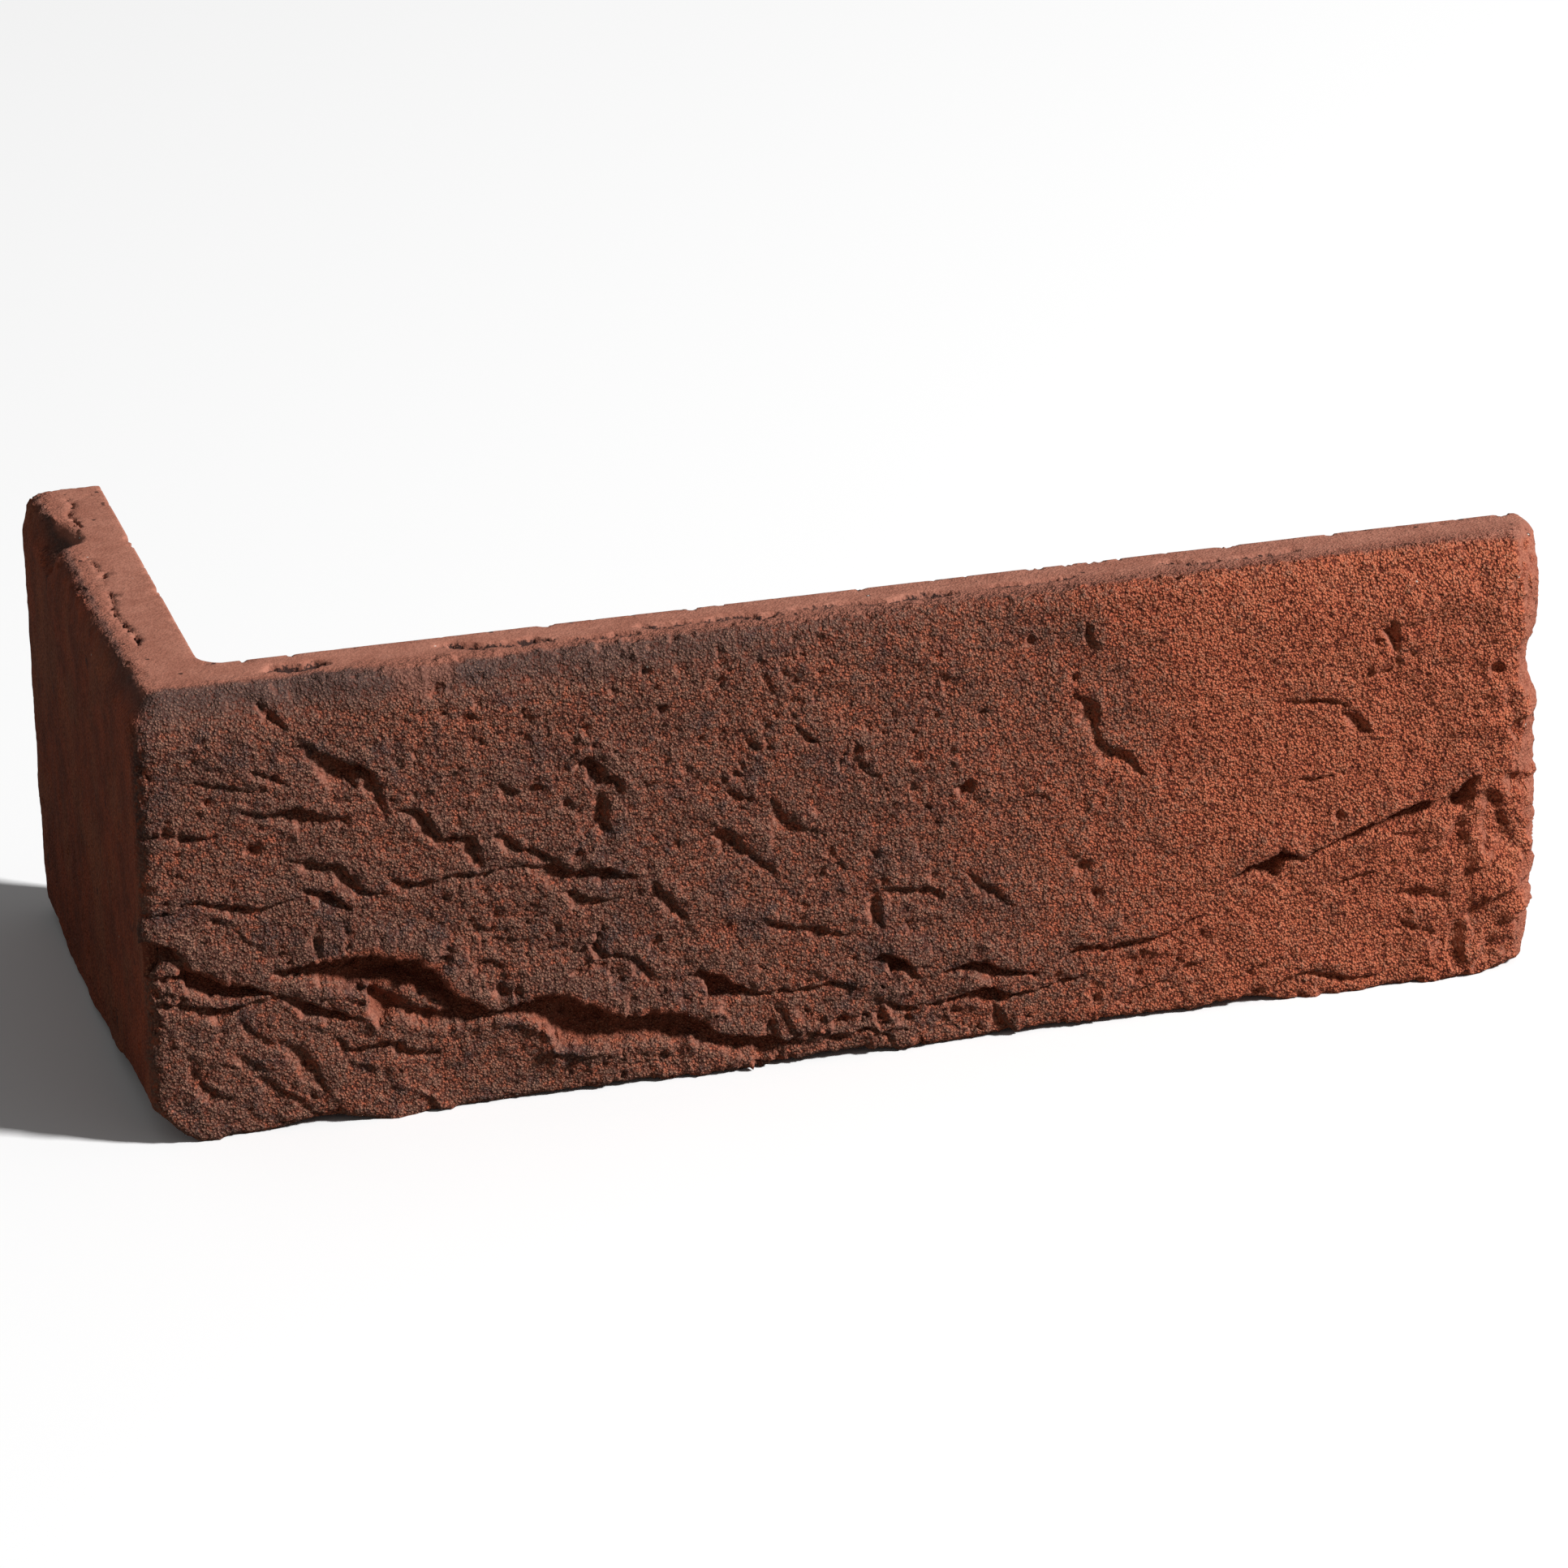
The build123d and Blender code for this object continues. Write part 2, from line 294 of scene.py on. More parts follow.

# folds of the face, read off: depth, then the lip as (along, up, gape) in millimetres from the outer corner
folds = [
    (4.2, [(17.5, 23.6, 0.6), (20, 24, 1.6), (23, 24.6, 2.9), (26, 24.6, 3.9), (29, 24.7, 5), (31, 24.8, 6),
        (33, 24.2, 7.5), (35.5, 23.4, 8.5), (38, 22.4, 8.5), (40, 20.6, 7.5), (42, 17.9, 5.6), (44, 16.3, 4.2),
        (46, 15.1, 2.8), (48.5, 14.1, 1.4), (50, 14.3, 1.9), (52, 14.9, 3.2), (55, 15.3, 4.4), (58, 14.9, 5.4),
        (60, 14, 6), (62, 13, 5.6), (64, 11.7, 5), (66, 10.9, 4), (70, 10.8, 3.9), (73, 10.4, 3.9), (76, 9.2, 4),
        (78, 7.9, 3.2), (79.5, 6.3, 2.2), (82, 5.7, 2.5), (85, 5.1, 2.8), (88, 4.7, 2.4), (91, 3.9, 1)]),
    (2.2, [(-1, 30.4, 5.2), (2, 29.9, 5), (4, 29, 4.2), (5.2, 27.6, 2.6), (7, 26.2, 1.2), (9, 25.2, 0.4)]),
    (2.6, [(3.6, 25.2, 1.6), (5.1, 25.4, 2.4), (7.4, 24.7, 2.4), (9.7, 23.5, 2.4), (12, 22.8, 2.2), (14, 22.3, 2),
        (15.5, 21.7, 1.4), (17, 20.8, 0.5)]),
    (1.8, [(3, 21.2, 0.8), (5, 20.6, 0.9), (8, 20.2, 1.2), (10, 19.9, 2), (12, 19.6, 1.3), (14, 19.6, 0.7),
        (16, 20.1, 0.5), (18, 20.3, 0.7), (20.3, 19.8, 0.6)]),
    (1.9, [(20.3, 19.6, 0.9), (22, 18.7, 1.6), (24, 17.6, 1.5), (26.5, 16.7, 1.3), (28.7, 15.4, 0.4)]),
    (0.9, [(18.9, 13.2, 1), (20.5, 12.3, 1.6), (22, 10.8, 2), (23, 9, 1.8), (23.8, 6.8, 1.2), (24, 5.6, 0.5)]),
    (1.2, [(26.6, 12.6, 0.5), (27.8, 11.2, 1), (29.7, 11, 0.9), (32, 11.5, 0.7), (34.3, 11.4, 0.8), (35.6, 10.4, 1.2),
        (37.8, 9.2, 0.8), (40, 8.8, 0.3)]),
    (0.7, [(5.8, 12.4, 0.7), (6.8, 9.6, 1.2), (8.4, 7.6, 1.3), (10.2, 6.4, 0.6)]),
    (0.7, [(15, 9.2, 0.6), (16.8, 7.5, 1.1), (18.6, 6, 1), (20.2, 4.8, 1.1), (21.4, 3.2, 0.5)]),
    (0.6, [(12.4, 12.3, 0.5), (14.5, 10.5, 1), (16, 9.6, 0.4)]),
    (0.6, [(13.2, 17.2, 0.5), (14.9, 15.2, 1), (17.2, 13.2, 0.5)]),
    (1.1, [(24.4, 29, 0.6), (24.3, 27.2, 1.2), (24.2, 25.4, 0.6)]),
    (1.3, [(0, 34.3, 0.4), (2, 34, 0.4), (4.7, 34.6, 0.4), (7.8, 35.4, 0.4), (10, 34.8, 0.6), (12.4, 34.4, 1),
        (15, 33.7, 1.1), (17, 33.5, 0.7), (19, 33.8, 0.4), (20.8, 34.1, 0.3)]),
    (1.6, [(23.4, 35.2, 0.6), (25.1, 34.6, 1.3), (26.8, 33.8, 1.4), (28.4, 32.4, 0.6)]),
    (1.4, [(21.4, 39.9, 0.5), (23.5, 39.2, 1.2), (25.5, 38.6, 1.2), (27.8, 37.9, 1.3), (29.2, 36.4, 1.4),
        (30.8, 34.4, 1), (33, 33.4, 0.3)]),
    (0.9, [(0.6, 45.7, 0.4), (5, 45.4, 0.5), (7, 45, 0.7), (9, 44.7, 0.7), (10.8, 44.6, 0.3)]),
    (1.7, [(15.4, 47.5, 0.6), (17.5, 47, 0.8), (20, 47.1, 1.7), (22, 47.4, 2.5), (24, 46.6, 2.1), (26, 45.5, 1.1),
        (28, 45.1, 0.8), (30, 45.2, 0.4)]),
    (0.7, [(9, 52.7, 0.4), (10.8, 52, 0.6), (13.2, 51.5, 0.6), (15.5, 50.9, 0.5), (18.2, 50.5, 0.3)]),
    (0.8, [(16.2, 53.3, 0.4), (18.9, 52.4, 0.7), (20.8, 51, 0.4)]),
    (1.9, [(22, 56.1, 0.4), (24, 56.1, 0.7), (25.6, 55.1, 1.5), (27.6, 53.9, 2.3), (29.4, 52.7, 2.7),
        (31.6, 52.1, 2.9), (33.2, 50, 2.3), (33.9, 47.6, 1.2), (34.4, 45.6, 0.5)]),
    (1.1, [(18.6, 61.9, 0.6), (19.8, 60.7, 0.9), (21.2, 58.9, 0.4)]),
    (1.5, [(36.4, 45.3, 0.5), (38.6, 45.2, 1.1), (40.2, 43.5, 1.3), (41.2, 41.5, 1), (42.2, 40.4, 0.8),
        (44.7, 40.5, 1), (46, 40.2, 1.3), (46.9, 38.4, 1.5), (47.5, 36.2, 0.7)]),
    (1.3, [(47.8, 39.8, 0.4), (50, 39.8, 0.6), (51.8, 38.8, 1), (52.8, 37.5, 0.8), (54.2, 37.3, 0.6),
        (55.7, 36.8, 1.2), (57.2, 35.8, 1)]),
    (1.8, [(35, 35, 0.6), (36.5, 34.7, 1.2), (38.2, 34.4, 1.5), (40, 34.7, 0.8), (43, 34.8, 0.8), (46.6, 34.8, 0.9),
        (50, 34.9, 0.6), (53, 35.2, 0.5), (55.5, 34.9, 1.3), (58, 34.1, 2.1), (60, 33.3, 1.5), (62.4, 33.4, 1.6),
        (65, 33.1, 2.3), (67, 32.1, 1.1), (69.2, 31.2, 0.3)]),
    (1.2, [(59.6, 30.2, 0.7), (61.5, 29.5, 1.5), (63.6, 28.9, 1.1), (66.2, 28.5, 0.4)]),
    (1.3, [(71.6, 30, 0.5), (73.2, 28, 1), (74.6, 26.2, 1), (75.5, 24.6, 0.4)]),
    (1.0, [(63.6, 23.2, 0.6), (63.3, 21.4, 0.9), (64.5, 20.4, 0.6), (66.5, 19.9, 0.6), (68.6, 19, 0.9),
        (70, 17.5, 0.9), (70.6, 15.8, 0.4)]),
    (2.5, [(70.5, 15.5, 0.3), (74, 15.4, 0.3), (76.3, 15.5, 0.5), (77.4, 15.9, 1.6), (79, 15.3, 3.3),
        (80.5, 14.5, 3.3), (82.2, 13.6, 2.6), (84, 12.6, 1.8), (86, 11.4, 0.8), (88.5, 11.5, 0.6), (91, 11.6, 0.8),
        (93.5, 11.7, 0.9), (96, 11.8, 0.9), (98.5, 11.1, 0.7), (100.7, 10.7, 0.3)]),
    (1.5, [(92.8, 5, 0.5), (95, 4.5, 1), (96.8, 4, 1.2), (98.6, 3.6, 0.6), (100.8, 4.4, 0.5), (102.4, 3.7, 0.3)]),
    (2.3, [(101.6, 14, 0.4), (103.3, 15, 1.1), (105, 14.8, 2.3), (106.7, 13.8, 2.5), (107.8, 12.6, 1.8),
        (108.4, 11.2, 0.6), (110.5, 10.8, 0.3)]),
    (2.1, [(112.3, 11.3, 0.4), (114.5, 11.9, 1), (117, 12.1, 1.4), (119, 11.6, 1.5), (121, 10.5, 1.2), (123, 10, 0.9),
        (125.6, 9.1, 0.4)]),
    (2.1, [(108.5, 6.7, 0.3), (111, 6.7, 0.5), (113.5, 7.1, 0.6), (115.5, 7.8, 1.4), (117.8, 8.2, 1.8),
        (120, 7.7, 1.7), (122.4, 6.5, 1), (125, 6.5, 0.5), (127.5, 7, 0.5), (130, 7.7, 0.7), (132.7, 8, 0.3)]),
    (1.4, [(104.4, 7.8, 0.5), (106.2, 6.9, 1), (108, 6.3, 0.4)]),
    (1.2, [(120, 5.4, 0.4), (121, 3.8, 1.2), (121.8, 2.2, 1.2), (122.3, 0.8, 0.6)]),
    (1.7, [(129.4, 10.5, 0.3), (131.3, 11.9, 0.7), (132.7, 12.5, 1), (135, 12.1, 0.7), (136.5, 11.6, 0.7),
        (138.3, 12.4, 1.2), (140.5, 12.3, 0.9), (143, 12.4, 0.6), (145, 12.7, 0.5), (147.4, 13.7, 0.5),
        (150, 14.9, 0.2)]),
    (1.2, [(137.6, 3.4, 0.6), (139.5, 4.3, 1.1), (142, 5, 0.5), (145.3, 5.7, 0.3)]),
    (0.6, [(145.6, 6.8, 0.3), (147.8, 7.3, 0.5), (150, 7.7, 0.3)]),
    (2.9, [(154.4, 19.2, 0.4), (156.2, 20.6, 1.5), (158, 21.6, 2.4), (160.3, 22.4, 2.8), (162, 22.8, 2.5),
        (163.6, 22.5, 1.6), (165, 21.7, 0.6)]),
    (2.7, [(165.2, 21, 0.5), (167.4, 22.4, 0.8), (170, 23.5, 1.4), (173.5, 25, 1.9), (176.2, 25.6, 2),
        (178.5, 26.6, 2.4), (180.5, 27.3, 2.3), (183, 27.8, 2), (185.5, 28, 2.1), (187.5, 28.7, 2.7),
        (189, 30.1, 2.8), (190.3, 31, 2.2), (192.2, 31.1, 0.6)]),
    (1.1, [(191.4, 28.7, 1.2), (194, 28.7, 3), (195.7, 26.6, 3.2), (196.4, 24, 3.2), (197.6, 21.5, 3),
        (199, 19.4, 1.4)]),
    (1.5, [(194.8, 31, 0.7), (197, 30.9, 2), (198.6, 30.1, 2.2), (200.2, 29, 1.2)]),
    (0.9, [(191, 15.6, 0.9), (191.3, 13, 2.4), (191.7, 11, 2.2), (192.2, 9.2, 1.6), (192, 7.2, 0.6)]),
    (1.1, [(189.6, 9.6, 1.3), (189.9, 7.5, 3), (189.6, 5.5, 3.2), (190, 3.5, 2.4), (190.6, 2, 0.9)]),
    (0.8, [(188.8, 26.2, 1), (189.8, 24, 2.2), (190.4, 22, 2.3), (191.2, 20, 1)]),
    (1.2, [(179.6, 14.4, 0.5), (181, 15, 1.8), (183, 15.1, 2.6), (185, 14.6, 2.4), (187, 13.6, 1.2),
        (189.2, 13.1, 0.4)]),
    (0.9, [(179.8, 10.2, 0.4), (182, 9.2, 0.8), (184.8, 7.9, 0.4)]),
    (0.7, [(169.8, 16.7, 0.3), (172.4, 17.4, 0.4), (175.1, 17.9, 0.4), (178.6, 19.5, 0.3)]),
    (0.9, [(178.2, 24, 0.3), (181.2, 23.6, 0.6), (184, 23.7, 0.4)]),
    (0.9, [(164.6, 4, 0.4), (168, 3.7, 0.6), (170, 3.1, 0.7), (173, 2.4, 0.7), (176.2, 2.3, 0.4)]),
    (1.2, [(197.2, 42.7, 1), (197.8, 41, 2.2), (197.6, 39.3, 2.6), (197.8, 37.5, 1.8), (198.2, 36.4, 0.7)]),
    (0.7, [(195.6, 60.4, 0.8), (197.8, 59.5, 1.7), (198.2, 57, 1.4), (197.8, 54.5, 1.3), (197.6, 52, 1),
        (197.4, 50, 0.5)]),
    (1.4, [(179.4, 54.7, 0.6), (179.7, 53, 1.1), (179.8, 51.2, 0.6)]),
    (0.9, [(175.8, 48, 0.4), (177.8, 48.5, 0.7), (179.6, 48.7, 0.3)]),
    (0.9, [(163, 45.3, 0.2), (166, 45.2, 0.6), (168.5, 45, 0.6), (171, 44.3, 0.5), (172.4, 43.3, 0.3)]),
    (1.1, [(172.2, 42.6, 0.6), (173.7, 41.8, 1.4), (175, 40.3, 1.3), (175.6, 39, 0.4)]),
    (0.8, [(165, 33.4, 0.3), (168.2, 33.7, 0.6), (171, 33.7, 0.3)]),
    (1.2, [(133.2, 49.9, 0.8), (135, 48.9, 2), (135.6, 46.6, 1.7), (135.6, 44.6, 1), (136.2, 42.9, 1.1),
        (137.6, 41.4, 1.3), (139.5, 41, 1.7), (140.7, 39.4, 1), (141.8, 37.4, 0.4)]),
    (0.9, [(134.5, 60, 0.4), (134.8, 58.6, 0.7), (134.7, 57, 0.4)]),
    (0.9, [(117.3, 24.9, 0.6), (119.4, 23.4, 1.1), (121.2, 21.5, 0.8), (122.7, 20, 0.3)]),
    (1.0, [(103.4, 24.8, 0.4), (105.5, 24.9, 0.9), (108, 24.4, 1), (110.8, 24, 0.8), (112.5, 22.6, 0.4)]),
    (1.2, [(103.3, 23.7, 0.7), (103.4, 22, 1.3), (103.6, 20.4, 1), (104, 19, 0.4)]),
    (1.1, [(88, 22, 0.7), (90, 21, 0.7), (92.4, 20.6, 0.7), (94.5, 20.3, 1.1), (96.6, 19.2, 0.7), (98.8, 18.7, 0.3)]),
    (1.2, [(75.6, 35, 0.3), (78.5, 35.6, 0.5), (80, 36.6, 1.5), (81.6, 36.7, 2.3), (83.2, 35.3, 2.3),
        (84.2, 33.6, 1.2), (85, 32.6, 0.4)]),
    (0.9, [(85.6, 32, 0.4), (87, 31.2, 1.2), (88.2, 29.9, 0.9), (89, 28.5, 0.4)]),
    (0.6, [(88.7, 39.9, 0.4), (90, 38.2, 0.9), (90.8, 36.6, 1), (92.5, 35.8, 0.6), (94.6, 35, 0.5),
        (96.3, 33.6, 0.3)]),
    (1.7, [(61.2, 49.1, 0.8), (62.8, 49.6, 2.1), (64.2, 48.4, 2.5), (65.2, 46.8, 1.7), (66.6, 46.4, 1.4),
        (67.2, 44.6, 0.6)]),
    (1.3, [(64.8, 44, 0.9), (65.3, 42, 2.1), (65.3, 40.2, 2.3), (65.5, 38.4, 0.7)]),
    (1.0, [(50.8, 47, 0.5), (52, 46, 0.9), (53.6, 45.9, 0.7), (55.2, 46.6, 1), (56.4, 45.8, 0.4)]),
    (0.6, [(82.4, 62.7, 0.6), (82.6, 60, 1), (82.5, 58, 1.1), (82.5, 56.4, 0.4)]),
    (0.5, [(87.6, 60.4, 0.4), (88.7, 58, 0.9), (89.5, 55.5, 0.4)]),
    (0.5, [(90.4, 59.8, 0.4), (91.6, 58.2, 1), (92.8, 56.5, 0.4)]),
    (0.8, [(85, 49.4, 0.4), (87.3, 48.2, 0.7), (90, 47.6, 0.3)]),
    (0.8, [(82.6, 42.4, 0.4), (84.2, 41.4, 0.7), (85.8, 40.3, 0.3)]),
    (0.8, [(92.8, 50, 0.4), (94.2, 48.4, 0.7), (95, 47.6, 0.3)]),
    (0.7, [(101.4, 43.6, 0.4), (102.6, 42.6, 0.6), (104, 41.2, 0.3)]),
]

# dents and, with a minus, grains that stand proud: along, up, radius, depth
dents = [
    (15.6, 41.8, 1.2, 1.3), (31.1, 50.2, 1.4, -1.3), (87.2, 5.9, 1.3, 0.9), (42.4, 61.3, 0.7, 1.0),
    (48, 58.8, 0.9, 0.8), (66.8, 58.4, 0.8, 0.6), (71.2, 60.7, 0.8, 0.8), (72.4, 58.4, 0.7, 0.6),
    (73.2, 55.3, 0.9, 0.8), (55.1, 55.7, 0.7, 0.5), (59.5, 42.8, 1.0, 0.9), (116, 38.4, 1.4, 1.8),
    (115.4, 39.2, 0.5, -0.6), (132.2, 52.5, 0.6, 0.8), (126, 58.4, 0.9, 0.9), (133, 24, 1.2, 0.9),
    (134.7, 19.8, 0.9, 0.8), (194.2, 46.2, 1.3, 1.1), (177.9, 53.8, 0.8, 1.2), (176.6, 52.4, 0.8, 0.9),
    (176, 48.8, 1.0, -0.6), (170.8, 26.9, 0.9, 1.0), (86.4, 34.6, 2.6, -0.7), (92.8, 37.2, 2.2, -0.7),
    (9.8, 32.2, 0.6, 0.7), (9.8, 49.4, 0.6, 0.7), (41, 22.2, 1.2, 1.4), (49, 16.8, 1.1, 0.9), (45.4, 27.5, 0.7, 0.5),
    (119.8, 21.7, 0.6, -0.5),
]

# thin ledges left standing inside the widest fold: height, then (along, up, half width)
ledges = [
    (2.4, [(30.4, 20, 0.5), (32, 19.2, 0.9), (34, 18.1, 1.1), (37, 16.7, 1.1), (40, 15.3, 0.9), (41.5, 14.8, 0.5)]),
]

# cracks of the upper bed: depth, then (along, back, gape) from the outer corner
bedCracks = [
    (1.3, [(44.5, 8.2, 0.4), (47, 7.8, 1.2), (49.5, 6.6, 1), (52, 6.3, 0.9), (54.5, 6.1, 1.1), (57, 6.4, 1),
        (59.5, 6, 0.5)]),
    (1.4, [(20, 6.6, 0.5), (21.5, 7, 1.4), (23.5, 6.8, 1.6), (25.4, 6.6, 1.2), (27, 7.2, 1.2), (28.4, 6.8, 0.4)]),
    (0.9, [(62, 5.4, 0.3), (66, 4.6, 0.6), (69, 4.9, 0.8), (71, 4.4, 0.4)]),
    (0.9, [(72.5, 6.8, 0.5), (74.5, 6.2, 0.8), (78, 6.4, 0.5), (82, 6.2, 0.7), (86, 6.3, 0.9), (88.5, 5.2, 0.9),
        (91, 5.6, 0.5)]),
    (0.9, [(94, 6.5, 0.3), (97.5, 6.3, 0.7), (102, 6.2, 0.5), (106.6, 5.2, 0.6), (110, 6.1, 0.9), (114.5, 6, 1.1),
        (116.5, 5.4, 0.4)]),
    (0.6, [(122, 6.4, 0.3), (128, 6.2, 0.5), (134, 6.6, 0.3)]),
    (0.7, [(147, 8, 0.4), (150.5, 7.2, 0.8), (152, 6.2, 0.6), (155, 6.6, 0.4)]),
    (0.6, [(158, 6.7, 0.3), (162, 6.4, 0.6), (167, 6.9, 0.3)]),
    (1.0, [(5.4, 22, 0.5), (5.6, 26, 0.9), (5.2, 30, 0.7), (4.6, 34, 0.8), (4.6, 38, 0.6), (5.2, 42, 0.8),
        (5, 46, 0.4)]),
    (0.9, [(4.2, 48, 0.3), (5.6, 51, 0.7), (5.4, 56, 0.5), (4.6, 60, 0.3)]),
    (0.8, [(5.2, 72, 0.4), (6, 76, 0.8), (5.4, 80, 0.6), (6.6, 84, 0.8), (6.2, 88, 0.3)]),
]


# how the lines are turned into folds, in millimetres
fold = {
    "station": 0.25,  # spacing of the points along a line
    "apart": 1.5,  # lines nearer than this go on different layers
    "downhill": Vector((-0.35, 0, -0.94)),
    "narrowest": 0.15,
    "wider": 0.3, "deeper": 1.2,  # gape and depth against the read-off lines
    "taper": 0.6,  # how fast the depth falls toward a fold's ends
    "runOut": 0.7,  # how much farther a shallow fold runs out
    "runOutTo": 2.6, "runOutFade": 1.2,  # depth at which that ends, and over how much it fades
    "shallow": 1.6, "cleft": 3.2,  # plain steps up to one depth, open clefts from the other
    "wall": 0.35, "wallStart": -0.05,  # the steep side under a lip
    "wallShare": 0.4,  # it takes no more than this share of the gape
    "plainWall": 0.5, "softWall": 1.1,  # what a shallow fold and the worn long end add to it
    "floorPower": 1.1, "cleftPower": 2.0,  # how squarely the floor ends, and what a cleft adds
    "roll": 0.26, "rollReach": 5.5,  # how far a lip stands out, share of the depth
    "belly": 0.1, "bellyReach": 3.0,  # how far the face bulges below the fold
    "hang": 0.3, "hangReach": 1.3,  # how far a lip hangs over, share of the depth
    "hangFrom": 1.6, "hangFull": 3.0,  # depth at which a lip begins to hang, and at which it hangs fully
    "hangBack": 0.8,  # how much of the overhang the line is set back by
    "wander": (2.4, 4.0, 0.72), "ragged": 1.8, "smoothing": 0.45,  # of the lips, and how much less at the right
}

# and into cracks of the upper bed; noises are given as size, detail and roughness, patches also by from and to
cracks = {
    "wider": 0.36, "longLegWider": 1.15, "deeper": 1.5,
    "wander": (1.3, 3.0, 0.75), "ragged": 2.8,
    "breaks": (2.6, 2.0, 0.5, 0.4, 0.55), "least": 0.25,  # share of the depth left in a break
    "longLegFrom": (14.0, 18.0), "longLegLeast": 0.8,
}
inFace = (1, 0, 1)  # distances are taken along the face, or along the bed
inBed = (1, 1, 0)
noWay = (0, 0, 0)
noiseMiddle = (0.5, 0.5, 0.5)


def throughPoints(points):  # smooth line through read-off points
    stations = []
    for number in range(len(points) - 1):
        before = points[max(number - 1, 0)]
        start, stop = points[number], points[number + 1]
        after = points[min(number + 2, len(points) - 1)]
        pieces = max(2, round((Vector(stop[:2]) - Vector(start[:2])).length / fold["station"]))
        for piece in range(pieces):
            t = piece / pieces
            stations.append(tuple(
                0.5 * (2 * b + (c - a) * t + (2 * a - 5 * b + 4 * c - d) * t * t + (3 * b - a - 3 * c + d) * t ** 3)
                for a, b, c, d in zip(before, start, stop, after)))
    stations.append(points[-1])
    return stations


def inLayers(lines):  # lines that would disturb each other go on different layers
    layers = []
    for depth, points in lines:
        reach = fold["apart"] + max(point[2] for point in points)
        low = [min(point[axis] for point in points) - reach for axis in (0, 1)]
        high = [max(point[axis] for point in points) + reach for axis in (0, 1)]

        def clear(other):
            return any(low[axis] > other[1][axis] or high[axis] < other[0][axis] for axis in (0, 1))
        for layer in layers:
            if all(clear(other) for other in layer):
                break
        else:
            layer = []
            layers.append(layer)
        layer.append((low, high, depth, points))
    return [[(depth, points) for low, high, depth, points in layer] for layer in layers]


def onFace(along, up):
    return Vector((cornerX + along, faceY, up))


def onBed(along, back):
    return Vector((cornerX + along, faceY + back, slipHeight))


guides = []


def guideMesh(name, rows):  # loose points in millimetres that carry what the relief needs
    mesh = bpy.data.meshes.new(name)
    mesh.from_pydata([row["at"] for row in rows], [], [])
    carried = (("side", "FLOAT_VECTOR", "vector"), ("gape", "FLOAT", "value"), ("depth", "FLOAT", "value"))
    for key, kind, field in carried:
        layer = mesh.attributes.new(key, kind, "POINT")
        for number, row in enumerate(rows):
            setattr(layer.data[number], field, row[key])
    guide = setUp(name, mesh)
    guides.append(guide)
    return guide


def crackGuide():  # plain grooves: the gape is their half width
    rows = []
    for depth, points in bedCracks:
        for along, back, gape in throughPoints(points):
            wider = cracks["longLegWider" if along > block["thickness"] else "wider"]
            rows.append({"at": onBed(along, back), "side": noWay,
                         "gape": max(gape, fold["narrowest"]) * wider, "depth": depth * cracks["deeper"]})
    return guideMesh("crackGuide", rows)


def dentGuide():
    rows = [{"at": onFace(along, up), "side": noWay, "gape": radius, "depth": depth}
            for along, up, radius, depth in dents]
    return guideMesh("dentGuide", rows)


def lineGuide(name, lines):  # lips, each point with the way down from it
    outward = Vector((0, -1, 0))
    rows = []
    for depth, points in lines:
        stations = throughPoints(points)
        widest = max(point[2] for point in points)
        spots = [onFace(along, up) for along, up, gape in stations]
        plain = min(max((fold["runOutTo"] - depth) / fold["runOutFade"], 0.0), 1.0)
        for number, station in enumerate(stations):
            along = spots[min(number + 2, len(spots) - 1)] - spots[max(number - 2, 0)]
            side = along.cross(outward).normalized()
            if side.dot(fold["downhill"]) < 0:
                side = -side
            gape = max(station[2], fold["narrowest"])
            taper = min(1.0, gape / widest) ** fold["taper"]
            deep = depth * taper * fold["deeper"]
            heavy = (deep - fold["hangFrom"]) / (fold["hangFull"] - fold["hangFrom"])
            overhang = deep * min(max(heavy, 0.0), 1.0) * fold["hang"] * fold["hangBack"]
            gape += overhang + (fold["wider"] + fold["runOut"] * plain) * gape
            rows.append({"at": spots[number] - side * overhang, "side": side, "gape": gape, "depth": deep})
    return guideMesh(name, rows)


def newRelief(name):
    tree = bpy.data.node_groups.new(name, "GeometryNodeTree")
    tree.interface.new_socket("Geometry", in_out="INPUT", socket_type="NodeSocketGeometry")
    tree.interface.new_socket("Geometry", in_out="OUTPUT", socket_type="NodeSocketGeometry")
    pen = Wire(tree)
    shape = pen.node("NodeGroupInput")
    place = pen.node("GeometryNodeInputPosition") * (1 / mm)
    return pen, shape, place


def workRelief(piece, pen, shape):  # hands the tree to the piece and applies it
    pen.node("NodeGroupOutput", None, {0: shape})
    modifier = piece.modifiers.new(pen.tree.name, "NODES")
    modifier.node_group = pen.tree
    applyModifier(piece, modifier.name)
    bpy.data.node_groups.remove(pen.tree)


